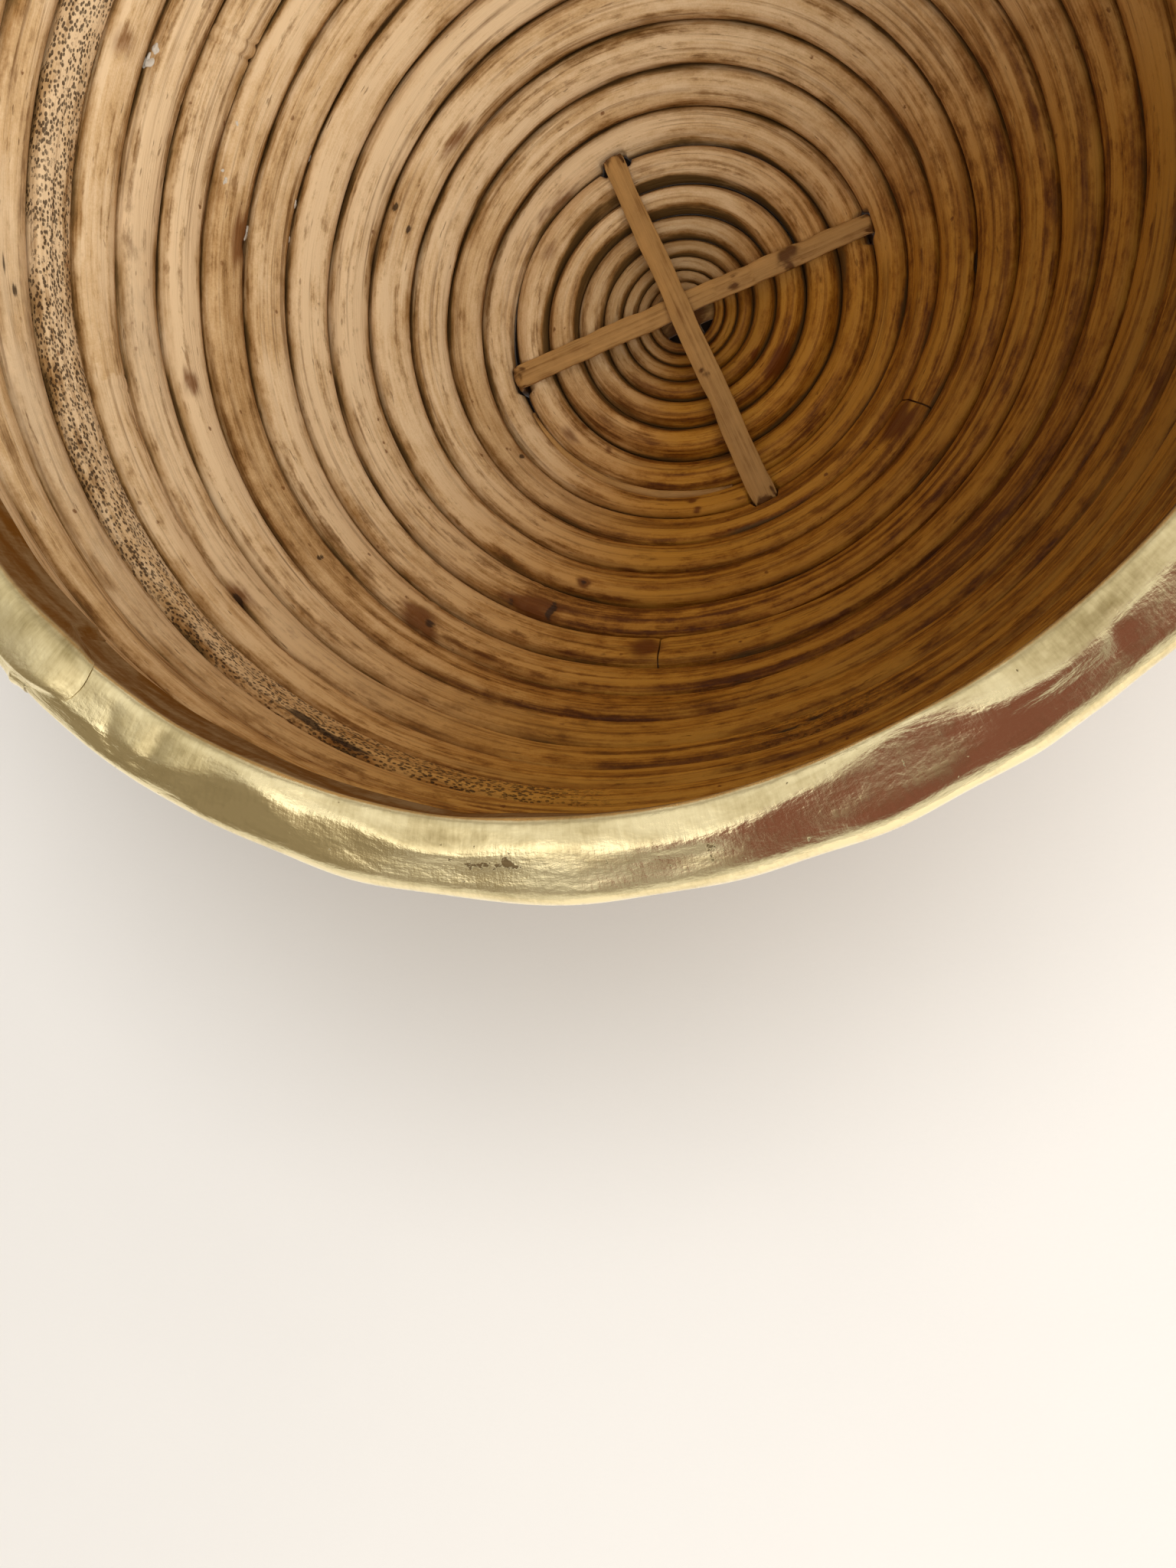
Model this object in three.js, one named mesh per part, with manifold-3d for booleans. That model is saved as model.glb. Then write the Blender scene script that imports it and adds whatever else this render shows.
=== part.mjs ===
// Coiled rattan bowl with a folded brass rim.
// A rattan pole winds outward over a flat base and up a rounded wall, in four lengths that butt end to end.
// Two split cane strips bind the middle of the base, and a sheet brass channel is folded over the top turn.
// Millimetres, +Z up, origin on the table under the middle of the bowl.

import * as THREE from 'three';
import { mergeVertices } from 'three/addons/utils/BufferGeometryUtils.js';
import Module from 'manifold-3d';

// Rattan pole
const POLE_DIAMETER = 8.9;
const TIP_SHARE = 0.2;
const POLE_SIDES = 6;
const TURN_CLEARANCE = 0.55;
const BUTT_CLEARANCE = 0.4;

// Winding: the shaved core is sunk, and its shares of the full pole's diameter grow at each turn
const STEPS_PER_TURN = 24;
const START_AZIMUTH = 20;
const CORE_HOLE_RADIUS = 4.8;
const CORE_SHARES = [0.22, 0.22, 0.27, 0.35, 0.52, 0.685, 0.81, 0.865, 0.865, 0.865, 1];
const CORE_SINK = 1.7;
const SPLICE_TURNS = [9.86, 12.69, 18.85];

// Bowl profile on the pole's centre line: flat disc, bend, straight flare, wall arc that ends upright
const BASE_RADIUS = 39;
const BASE_BEND_RADIUS = 10.3;
const FLARE_ANGLE = 37;
const FLARE_LENGTH = 31.8;
const WALL_RADIUS = 111;
const OVERALL_HEIGHT = 127;

// Split cane strips: the lower one lies on the coil, the upper one crosses over it
const STRIP_WIDTH = 5;
const STRIP_THICKNESS = 1.5;
const STRIP_CHAMFER = 0.3;
const STRIP_BEND_RADIUS = 2.2;
const LOWER_STRIP = { azimuth: 15, frontTurns: 6, backTurns: 6 };
const UPPER_STRIP = { azimuth: 112, frontTurns: 6, backTurns: 7 };
const STRIP_RUN_STEPS = 20;
const CROSSING_HALF_LENGTH = 20;
const CROSSING_CLEARANCE = 0.45;
const SEAT_CLEARANCE = 0.3;

// Slender cane wedged in the groove of the base
const FILLER_DIAMETER = 1.8;
const FILLER_TIP_DIAMETER = 0.9;
const FILLER_START_TURN = 6.55;
const FILLER_STEPS = 4;
const FILLER_RAISE_STEPS = 50;

// Brass rim channel
const BRASS_THICKNESS = 0.6;
const RIM_CLEARANCE = 0.45;
const RIM_TOP_CLEARANCE = 1.5;
const RIM_DEPTH = 12.7;
const RIM_RIDGE_SHIFT = -2.1;
const RIM_INNER_TILT = 5;
const RIM_OUTER_TILT = 18;
const RIM_INNER_RADIUS = 1.4;
const RIM_OUTER_RADIUS = 3;
const RIM_SEAM_AZIMUTH = 225;
const RIM_SEAM_GAP = 0.5;
const RIM_STEPS = 72;
const RIM_CORNER_STEPS = 4;

const FULL_TURN = Math.PI * 2;
const STEP_ANGLE = FULL_TURN / STEPS_PER_TURN;
const BASE_LEVEL = STRIP_THICKNESS + SEAT_CLEARANCE + POLE_DIAMETER / 2;
const WINDING_TOP = OVERALL_HEIGHT - BRASS_THICKNESS - RIM_TOP_CLEARANCE;

// Length of the profile from the axis to the point where the wall stands upright.
function uprightLength() {
  const flare = THREE.MathUtils.degToRad(FLARE_ANGLE);
  return BASE_RADIUS + BASE_BEND_RADIUS * flare + FLARE_LENGTH + WALL_RADIUS * (Math.PI / 2 - flare);
}

// Radius, height and slope of the profile at a length along it, measured from the axis outward.
function profileAt(length) {
  const flare = THREE.MathUtils.degToRad(FLARE_ANGLE);
  const rest = Math.PI / 2 - flare;
  const stretches = [
    { run: BASE_RADIUS, bend: 0 },
    { run: BASE_BEND_RADIUS * flare, bend: flare },
    { run: FLARE_LENGTH, bend: 0 },
    { run: WALL_RADIUS * rest, bend: rest },
    { run: Infinity, bend: 0 },
  ];
  const point = { radius: 0, height: BASE_LEVEL, slope: 0 };
  let left = length;
  for (const stretch of stretches) {
    const run = Math.min(left, stretch.run);
    const bend = stretch.bend * (run / stretch.run);
    const chord = bend > 0 ? (2 * run * Math.sin(bend / 2)) / bend : run;
    point.radius += chord * Math.cos(point.slope + bend / 2);
    point.height += chord * Math.sin(point.slope + bend / 2);
    point.slope += bend;
    left -= run;
  }
  return point;
}

// Length along the profile to the level top of the winding, on the upright part of the wall.
function windingTopLength() {
  const upright = uprightLength();
  return upright + WINDING_TOP - profileAt(upright).height;
}

// A point in the upright half plane at an azimuth.
function meridianPoint(azimuth, radius, height) {
  return new THREE.Vector3(radius * Math.cos(azimuth), radius * Math.sin(azimuth), height);
}

// Corners of the pole's section: the first points along the slope to the next turn, the fourth back.
function sectionCorners(azimuth, centre, slope, diameter) {
  const corners = [];
  for (let side = 0; side < POLE_SIDES; side += 1) {
    const angle = (FULL_TURN * side) / POLE_SIDES;
    const along = (diameter / 2) * Math.cos(angle);
    const above = ((diameter / 2) * Math.sin(angle)) / Math.cos(Math.PI / POLE_SIDES);
    const radius = centre.radius + along * Math.cos(slope) - above * Math.sin(slope);
    const height = centre.height + along * Math.sin(slope) + above * Math.cos(slope);
    corners.push(meridianPoint(azimuth, radius, height));
  }
  return corners;
}

// Share of the full diameter that the pole has grown to, a number of turns out.
function grownShare(turn) {
  const last = CORE_SHARES.length - 1;
  const before = Math.min(Math.floor(turn), last);
  const after = Math.min(before + 1, last);
  return THREE.MathUtils.lerp(CORE_SHARES[before], CORE_SHARES[after], turn - Math.floor(turn));
}

// Where the pole lies at a step: its inner edge along the profile, its diameter and how deep it is sunk.
// The last turn is shaved thinner and thinner, so that its top stays level.
function poleSeat(step, innerTurn, topLength) {
  const turn = step / STEPS_PER_TURN;
  const grown = grownShare(turn);
  const firstEdge = CORE_HOLE_RADIUS + turn * (POLE_DIAMETER * CORE_SHARES[0] + TURN_CLEARANCE);
  const edge = innerTurn ? innerTurn.length + innerTurn.diameter / 2 + TURN_CLEARANCE : firstEdge;
  const sink = (CORE_SINK * (1 - grown)) / (1 - CORE_SHARES[0]);
  return { edge, sink, diameter: Math.min(POLE_DIAMETER * grown, topLength - edge) };
}

// One section for each step of the winding, every turn one clearance outside the turn before it.
function windPole() {
  const topLength = windingTopLength();
  const sections = [];
  let seat = poleSeat(0, undefined, topLength);
  while (seat.diameter > POLE_DIAMETER * TIP_SHARE) {
    const azimuth = THREE.MathUtils.degToRad(START_AZIMUTH) + sections.length * STEP_ANGLE;
    const length = seat.edge + seat.diameter / 2;
    const centre = profileAt(length);
    centre.radius += seat.sink * Math.sin(centre.slope);
    centre.height -= seat.sink * Math.cos(centre.slope);
    const corners = sectionCorners(azimuth, centre, centre.slope, seat.diameter);
    sections.push({ azimuth, length, diameter: seat.diameter, corners });
    seat = poleSeat(sections.length, sections[sections.length - STEPS_PER_TURN], topLength);
  }
  return sections;
}

// Corners of the straight pole between two sections, at a place given in steps.
function cornersAt(winding, place) {
  const before = winding[Math.floor(place)].corners;
  const after = winding[Math.ceil(place)].corners;
  return before.map((corner, side) => corner.clone().lerp(after[side], place - Math.floor(place)));
}

// Least distance between neighbouring turns, measured on the corners and the middles of the sides.
function leastTurnGap(winding) {
  const outlines = winding.map(({ corners }) => {
    const middles = corners.map((corner, side) => {
      return corner.clone().lerp(corners[(side + 1) % POLE_SIDES], 0.5);
    });
    return corners.concat(middles);
  });
  let least = Infinity;
  for (let step = STEPS_PER_TURN; step < outlines.length; step += 1) {
    for (const point of outlines[step]) {
      for (const neighbour of outlines[step - STEPS_PER_TURN]) {
        least = Math.min(least, point.distanceTo(neighbour));
      }
    }
  }
  return least;
}

// A closed tube through rings of corners.
function tubeGeometry(rings) {
  const sides = rings[0].length;
  const last = (rings.length - 1) * sides;
  const faces = [];
  for (let ring = 0; ring < last; ring += sides) {
    for (let side = 0; side < sides; side += 1) {
      const here = ring + side;
      const next = ring + ((side + 1) % sides);
      faces.push(here, here + sides, next, next, here + sides, next + sides);
    }
  }
  for (let side = 1; side < sides - 1; side += 1) {
    faces.push(0, side, side + 1);
    faces.push(last, last + side + 1, last + side);
  }
  const geometry = new THREE.BufferGeometry();
  const places = rings.flat().flatMap((corner) => corner.toArray());
  geometry.setAttribute('position', new THREE.Float32BufferAttribute(places, 3));
  geometry.setIndex(faces);
  geometry.computeVertexNormals();
  return geometry;
}

// Places, in steps, where each pole length starts and ends. Lengths butt in the middle of a straight step.
function poleSpans(winding) {
  const firstStep = winding[1].corners[0].distanceTo(winding[0].corners[0]);
  const spans = [{ start: 0, straight: Math.ceil(winding[0].diameter / firstStep) }];
  for (const turn of SPLICE_TURNS) {
    const step = Math.floor(turn * STEPS_PER_TURN);
    const halfGap = BUTT_CLEARANCE / 2 / winding[step].corners[0].distanceTo(winding[step + 1].corners[0]);
    spans[spans.length - 1].end = step + 0.5 - halfGap;
    spans.push({ start: step + 0.5 + halfGap, straight: 0 });
  }
  spans[spans.length - 1].end = winding.length - 1;
  return spans;
}

// The rings of one pole length. The shaved start runs straight for the length of its own diameter.
function poleRings(winding, span) {
  const places = [span.start];
  for (let step = Math.floor(span.start) + Math.max(span.straight, 1); step < span.end; step += 1) {
    places.push(step);
  }
  places.push(span.end);
  return places.map((place) => cornersAt(winding, place));
}

// The groove beside the pole that lies a number of turns out, where a strip of this azimuth tucks through.
function tuckAt(winding, azimuth, turns) {
  const part = THREE.MathUtils.euclideanModulo(azimuth - START_AZIMUTH, 360) / 360;
  const place = (turns + part) * STEPS_PER_TURN;
  const inner = cornersAt(winding, place);
  const outer = cornersAt(winding, place + STEPS_PER_TURN);
  const groove = inner[0].clone().lerp(outer[POLE_SIDES / 2], 0.5);
  const heights = inner.map((corner) => corner.z);
  const radius = Math.hypot(groove.x, groove.y);
  return { radius, top: Math.max(...heights), underside: Math.min(...heights) };
}

// Share of a strip's hump over the other strip, at a distance along it from the crossing.
function humpShare(along) {
  const reach = Math.min(Math.abs(along) / CROSSING_HALF_LENGTH, 1);
  return (1 + Math.cos(Math.PI * reach)) / 2;
}

// Height of a strip's upper run on its lower face: straight from tuck to tuck, but for the hump.
function overHeight(band, along) {
  const straight = THREE.MathUtils.mapLinear(along, band.back, band.front, band.backTop, band.frontTop);
  return straight + band.overHump * humpShare(along);
}

// Height of a strip's lower run on its upper face: flat under the disc, rising with the coil to the tucks.
function underHeight(band, along) {
  const [tuck, underside] = along > 0 ? [band.front, band.frontUnderside] : [-band.back, band.backUnderside];
  const rise = Math.max(underside - STRIP_THICKNESS, 0);
  const reach = THREE.MathUtils.clamp((Math.abs(along) - tuck) / POLE_DIAMETER + 1, 0, 1);
  return STRIP_THICKNESS + rise * reach + band.underHump * humpShare(along);
}

// One contour of a strip's closed band, a distance outside its inner face, drawn as a path in its upright plane.
function bandContour(path, band, offset) {
  const radius = STRIP_BEND_RADIUS - STRIP_THICKNESS + offset;
  const front = band.front - STRIP_THICKNESS / 2 + offset - radius;
  const back = band.back + STRIP_THICKNESS / 2 - offset + radius;
  path.moveTo(back, underHeight(band, back) - offset);
  for (let step = 1; step <= STRIP_RUN_STEPS; step += 1) {
    const along = THREE.MathUtils.lerp(back, front, step / STRIP_RUN_STEPS);
    path.lineTo(along, underHeight(band, along) - offset);
  }
  path.absarc(front, underHeight(band, front) - offset + radius, radius, -Math.PI / 2, 0);
  path.absarc(front, overHeight(band, front) + offset - radius, radius, 0, Math.PI / 2);
  for (let step = 1; step < STRIP_RUN_STEPS; step += 1) {
    const along = THREE.MathUtils.lerp(front, back, step / STRIP_RUN_STEPS);
    path.lineTo(along, overHeight(band, along) + offset);
  }
  path.absarc(back, overHeight(band, back) + offset - radius, radius, Math.PI / 2, Math.PI);
  path.absarc(back, underHeight(band, back) - offset + radius, radius, Math.PI, Math.PI * 1.5);
  return path;
}

// The band of a strip: where its two ends tuck through the coil, and how high its upper run lies there.
function stripBand(winding, strip) {
  const front = tuckAt(winding, strip.azimuth, strip.frontTurns);
  const back = tuckAt(winding, strip.azimuth + 180, strip.backTurns);
  return {
    front: front.radius,
    back: -back.radius,
    frontTop: front.top + SEAT_CLEARANCE,
    backTop: back.top + SEAT_CLEARANCE,
    frontUnderside: front.underside - SEAT_CLEARANCE,
    backUnderside: back.underside - SEAT_CLEARANCE,
    overHump: 0,
    underHump: 0,
  };
}

// A strip as a flat band, closed round the base, with its long edges taken off.
function stripGeometry(band) {
  const outline = bandContour(new THREE.Shape(), band, STRIP_THICKNESS);
  outline.holes.push(bandContour(new THREE.Path(), band, 0));
  const geometry = new THREE.ExtrudeGeometry(outline, {
    depth: STRIP_WIDTH - 2 * STRIP_CHAMFER,
    curveSegments: 2,
    bevelSize: STRIP_CHAMFER,
    bevelThickness: STRIP_CHAMFER,
    bevelOffset: -STRIP_CHAMFER,
    bevelSegments: 1,
  });
  geometry.translate(0, 0, STRIP_CHAMFER - STRIP_WIDTH / 2);
  geometry.rotateX(Math.PI / 2);
  return geometry;
}

// The slots that a strip's two ends pass through, as solids to cut from the coil.
function slotGeometries(strip, band) {
  const height = Math.max(band.frontTop, band.backTop) + STRIP_THICKNESS + SEAT_CLEARANCE;
  return [band.front, band.back].map((along) => {
    const slot = new THREE.BoxGeometry(
      STRIP_THICKNESS + 2 * SEAT_CLEARANCE,
      STRIP_WIDTH + 2 * SEAT_CLEARANCE,
      height,
    );
    slot.translate(along, 0, height / 2);
    slot.rotateZ(THREE.MathUtils.degToRad(strip.azimuth));
    return slot;
  });
}

// Least distance from a point to the outline of a pole's section.
function distanceToSection(point, corners) {
  const nearest = new THREE.Vector3();
  const distances = corners.map((corner, side) => {
    const edge = new THREE.Line3(corner, corners[(side + 1) % POLE_SIDES]);
    edge.closestPointToPoint(point, true, nearest);
    return nearest.distanceTo(point);
  });
  return Math.min(...distances);
}

// The slender cane in the groove of the base, each section raised until it clears the poles on both sides.
function fillerRings(winding) {
  const rings = [];
  const raise = FILLER_TIP_DIAMETER / FILLER_RAISE_STEPS;
  for (let step = 0; step <= FILLER_STEPS; step += 1) {
    const place = Math.round(FILLER_START_TURN * STEPS_PER_TURN) + step;
    const inner = winding[place];
    const outer = winding[place + STEPS_PER_TURN];
    const diameter = THREE.MathUtils.lerp(FILLER_TIP_DIAMETER, FILLER_DIAMETER, step / FILLER_STEPS);
    const reach = diameter / 2 / Math.cos(Math.PI / POLE_SIDES) + SEAT_CLEARANCE;
    const centre = inner.corners[0].clone().lerp(outer.corners[POLE_SIDES / 2], 0.5);
    while (Math.min(...[inner, outer].map(({ corners }) => distanceToSection(centre, corners))) < reach) {
      centre.z += raise;
    }
    const middle = { radius: Math.hypot(centre.x, centre.y), height: centre.z };
    rings.push(sectionCorners(inner.azimuth, middle, 0, diameter));
  }
  return rings;
}

// Level circle that the brass channel is bent along, broken at the seam.
class RimCircle extends THREE.Curve {
  constructor(radius) {
    super();
    this.radius = radius;
  }

  getPoint(t, target = new THREE.Vector3()) {
    const halfGap = RIM_SEAM_GAP / 2 / this.radius;
    const seam = THREE.MathUtils.degToRad(RIM_SEAM_AZIMUTH);
    const angle = THREE.MathUtils.lerp(seam + halfGap, seam + FULL_TURN - halfGap, t);
    return target.set(this.radius * Math.cos(angle), this.radius * Math.sin(angle), 0);
  }
}

// Corners of the folded brass, outward across and upward along: foot, shoulder, ridge, shoulder and foot.
// The crown falls from its ridge to both sides, and the inset is how far the corners lie inside the outer face.
function rimCorners(halfWidth, inset) {
  const crownHeight = (across, tilt) => {
    const slope = THREE.MathUtils.degToRad(tilt);
    return RIM_DEPTH - Math.abs(across - RIM_RIDGE_SHIFT) * Math.tan(slope) - inset / Math.cos(slope);
  };
  const side = halfWidth - inset;
  return [
    new THREE.Vector2(side, 0),
    new THREE.Vector2(side, crownHeight(side, RIM_OUTER_TILT)),
    new THREE.Vector2(RIM_RIDGE_SHIFT, crownHeight(RIM_RIDGE_SHIFT, RIM_OUTER_TILT)),
    new THREE.Vector2(-side, crownHeight(-side, RIM_INNER_TILT)),
    new THREE.Vector2(-side, 0),
  ];
}

// A line to a corner that is rounded off, towards the corner after it.
function roundedLineTo(path, before, corner, after, radius) {
  const start = corner.clone().add(before.clone().sub(corner).setLength(radius));
  const end = corner.clone().add(after.clone().sub(corner).setLength(radius));
  path.lineTo(start.x, start.y);
  path.quadraticCurveTo(corner.x, corner.y, end.x, end.y);
}

// Folded section of the brass, open at the bottom.
function rimSection(halfWidth) {
  const [foot, shoulder, ridge, innerShoulder, innerFoot] = rimCorners(halfWidth, 0);
  const [foldFoot, foldShoulder, foldRidge, foldInnerShoulder, foldInnerFoot] =
    rimCorners(halfWidth, BRASS_THICKNESS);
  const section = new THREE.Shape();
  section.moveTo(foot.x, foot.y);
  roundedLineTo(section, foot, shoulder, ridge, RIM_OUTER_RADIUS);
  section.lineTo(ridge.x, ridge.y);
  roundedLineTo(section, ridge, innerShoulder, innerFoot, RIM_INNER_RADIUS);
  section.lineTo(innerFoot.x, innerFoot.y);
  section.lineTo(foldInnerFoot.x, foldInnerFoot.y);
  roundedLineTo(section, foldInnerFoot, foldInnerShoulder, foldRidge, RIM_INNER_RADIUS - BRASS_THICKNESS);
  section.lineTo(foldRidge.x, foldRidge.y);
  roundedLineTo(section, foldRidge, foldShoulder, foldFoot, RIM_OUTER_RADIUS - BRASS_THICKNESS);
  section.lineTo(foldFoot.x, foldFoot.y);
  return section;
}

// The brass channel over the top turn. Along the circle a section's x points down and its y points inward.
function rimGeometry() {
  const poleRadius = profileAt(windingTopLength()).radius;
  const wall = POLE_DIAMETER / 2 + RIM_CLEARANCE + BRASS_THICKNESS;
  const outside = poleRadius + wall;
  const inside = poleRadius * Math.cos(STEP_ANGLE / 2) - wall;
  const points = rimSection((outside - inside) / 2).extractPoints(RIM_CORNER_STEPS).shape;
  const section = new THREE.Shape(points.map((point) => new THREE.Vector2(-point.y, -point.x)));
  const path = new RimCircle((outside + inside) / 2);
  return new THREE.ExtrudeGeometry(section, { steps: RIM_STEPS, extrudePath: path });
}

const wasm = await Module();
wasm.setup();

// A solid for cutting, from a closed geometry.
function toSolid(geometry) {
  const bare = geometry.clone();
  bare.deleteAttribute('normal');
  bare.deleteAttribute('uv');
  const merged = mergeVertices(bare);
  const vertProperties = Float32Array.from(merged.attributes.position.array);
  const triVerts = Uint32Array.from(merged.index.array);
  return new wasm.Manifold(new wasm.Mesh({ numProp: 3, vertProperties, triVerts }));
}

// A geometry with other solids cut out of it.
function cut(geometry, cutters) {
  let solid = toSolid(geometry);
  for (const cutter of cutters) {
    solid = solid.subtract(toSolid(cutter));
  }
  const mesh = solid.getMesh();
  const result = new THREE.BufferGeometry();
  result.setAttribute('position', new THREE.BufferAttribute(mesh.vertProperties, 3));
  result.setIndex(new THREE.BufferAttribute(mesh.triVerts, 1));
  result.computeVertexNormals();
  return result;
}

// A named piece with its own finish.
function piece(name, geometry, finish) {
  const mesh = new THREE.Mesh(geometry, new THREE.MeshStandardMaterial(finish));
  mesh.name = name;
  return mesh;
}

const winding = windPole();
console.log(`Least gap between the turns of the winding: ${leastTurnGap(winding).toFixed(2)} mm`);

const lowerBand = stripBand(winding, LOWER_STRIP);
const upperBand = stripBand(winding, UPPER_STRIP);
upperBand.overHump = overHeight(lowerBand, 0) + STRIP_THICKNESS + CROSSING_CLEARANCE - overHeight(upperBand, 0);
lowerBand.underHump = STRIP_THICKNESS + CROSSING_CLEARANCE;
const slots = [...slotGeometries(LOWER_STRIP, lowerBand), ...slotGeometries(UPPER_STRIP, upperBand)];

const bowl = new THREE.Group();

const POLE_NAMES = ['base_pole', 'lower_wall_pole', 'middle_wall_pole', 'upper_wall_pole'];
const POLE_COLOURS = [0xa07848, 0xb08a58, 0xc09a68, 0xc8a678];
poleSpans(winding).forEach((span, index) => {
  const tube = tubeGeometry(poleRings(winding, span));
  const geometry = index === 0 ? cut(tube, slots) : tube;
  bowl.add(piece(POLE_NAMES[index], geometry, { color: POLE_COLOURS[index], roughness: 0.62, metalness: 0 }));
});

const strips = { lower_cane_strip: [LOWER_STRIP, lowerBand], upper_cane_strip: [UPPER_STRIP, upperBand] };
for (const [name, [strip, band]] of Object.entries(strips)) {
  const mesh = piece(name, stripGeometry(band), { color: 0xc49a62, roughness: 0.55, metalness: 0 });
  mesh.rotation.z = THREE.MathUtils.degToRad(strip.azimuth);
  bowl.add(mesh);
}

const fillerFinish = { color: 0xb88c54, roughness: 0.6, metalness: 0 };
bowl.add(piece('groove_cane', tubeGeometry(fillerRings(winding)), fillerFinish));

const rim = piece('brass_rim', rimGeometry(), { color: 0xcbb878, roughness: 0.28, metalness: 1 });
rim.position.z = OVERALL_HEIGHT - RIM_DEPTH;
bowl.add(rim);

export default bowl;
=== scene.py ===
"""The looks of a coiled rattan bowl with a folded brass rim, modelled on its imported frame."""

import math

import bpy
import numpy as np
from bpy.props import FloatProperty, FloatVectorProperty, IntProperty, PointerProperty
from mathutils import Matrix, Vector


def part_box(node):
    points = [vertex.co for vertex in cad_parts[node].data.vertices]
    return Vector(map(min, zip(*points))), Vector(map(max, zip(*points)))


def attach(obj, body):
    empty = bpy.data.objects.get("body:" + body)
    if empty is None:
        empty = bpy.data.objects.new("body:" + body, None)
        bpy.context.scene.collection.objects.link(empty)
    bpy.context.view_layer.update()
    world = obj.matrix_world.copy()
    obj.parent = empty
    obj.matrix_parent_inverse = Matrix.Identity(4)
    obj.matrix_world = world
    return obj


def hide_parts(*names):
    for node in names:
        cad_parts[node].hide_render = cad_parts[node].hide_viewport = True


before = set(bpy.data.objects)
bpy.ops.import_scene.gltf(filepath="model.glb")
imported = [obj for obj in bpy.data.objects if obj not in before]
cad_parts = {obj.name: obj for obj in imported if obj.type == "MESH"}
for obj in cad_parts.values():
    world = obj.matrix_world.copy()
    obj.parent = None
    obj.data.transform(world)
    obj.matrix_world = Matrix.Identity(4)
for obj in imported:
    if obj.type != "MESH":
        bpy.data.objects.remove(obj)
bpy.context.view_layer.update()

bl_info = {
    "name": "Coiled Rattan Bowl",
    "version": (1, 0, 0),
    "blender": (4, 5, 0),
    "location": "View3D > Sidebar > Rattan Bowl",
    "description": "Models a coiled rattan bowl with a folded brass rim on its packed frame",
    "category": "Add Mesh",
}

FULL_TURN = 2 * math.pi
SHARP_ANGLE = math.radians(50)
MM = 0.001

# Seeds of the random unevenness of the pieces
POLE_SEED = 7
LOWER_STRIP_SEED = 21
UPPER_STRIP_SEED = 22
GROOVE_CANE_SEED = 31
RIM_SEED = 43
GLUE_SEED = 57

POLE_NODES = ("base_pole", "lower_wall_pole", "middle_wall_pole", "upper_wall_pole")

# Share of the full pole's thickness at each whole turn of the shaved core
CORE_SHARES = (0.22, 0.22, 0.27, 0.35, 0.52, 0.685, 0.81, 0.865, 0.865, 0.865, 1.0)

# Turns of the winding at which one length of pole butts on the next
SPLICE_TURNS = (9.8542, 12.6875, 18.8542)

# Growth nodes and splices: turn, strength of the ridge, and how brown the skin is beyond it
SKIN_STEPS = (
    (0.0, 0.0, 0.05), (5.62, 0.1, 0.0), (6.9, 0.15, -0.04), (8.05, 0.15, 0.05), (9.2667, 0.3, -0.08),
    (9.8542, 0.0, -0.02), (10.4542, 0.3, -0.02), (11.0167, 0.2, -0.1), (11.62, 0.25, 0.06),
    (12.1, 0.15, -0.09), (12.6875, 0.0, -0.03), (13.05, 0.15, -0.04), (13.5917, 0.4, 0.02),
    (14.06, 0.15, -0.02), (14.4, 0.15, 0.1), (14.72, 0.2, -0.05), (15.3542, 1.0, -0.07), (15.9, 0.15, -0.03),
    (16.38, 0.15, -0.08), (16.95, 0.2, 0.02), (17.475, 0.35, -0.12), (18.05, 0.15, -0.1),
    (18.8542, 0.0, -0.04), (19.6, 0.2, -0.1), (20.3, 0.3, 0.04), (21.05, 0.3, -0.05),
    (21.8, 0.3, 0.06), (22.5, 0.3, -0.06), (23.05, 0.2, 0.04),
)

# Knots and stains: turn, angle round the pole in degrees, half length and half width in millimetres, strength
STAINS = (
    (13.5917, 57, 4.5, 3.0, 0.9), (11.625, 46, 5.5, 3.5, 1.0), (14.4165, 135, 6.0, 3.0, 0.9),
    (15.475, 78, 3.5, 2.0, 0.7), (10.33, 108, 7.0, 1.3, 0.7), (17.375, 72, 4.0, 3.0, 0.5),
    (16.5542, 40, 4.0, 2.2, 0.8), (4.85, 57, 4.0, 2.2, 1.0), (7.6958, 87, 1.2, 0.8, 1.0),
    (7.7, 51, 1.0, 0.8, 0.9), (6.5667, 147, 1.3, 0.8, 0.8), (6.6042, 129, 1.2, 0.9, 0.8),
    (3.8417, 54, 1.4, 0.8, 0.9), (5.8458, 141, 1.0, 0.7, 0.8), (7.31, 132, 5.0, 2.2, 0.6),
    (7.33, 110, 3.0, 1.2, 0.7), (6.3583, 99, 3.5, 2.0, 0.5), (6.5625, 88, 3.0, 1.6, 0.6),
    (9.6625, 29, 3.0, 0.9, 0.8), (13.6, 27, 3.0, 1.2, 0.7), (13.4292, 12, 3.0, 1.4, 0.7),
    (12.682, 90, 3.5, 3.4, 0.8), (9.842, 90, 5.0, 3.6, 0.9), (10.87, 90, 16.0, 2.0, 0.4),
    (12.93, 80, 14.0, 1.6, 0.45), (8.55, 119, 5.0, 3.0, 0.25), (10.6417, 63, 1.6, 1.2, 1.0),
)

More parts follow.
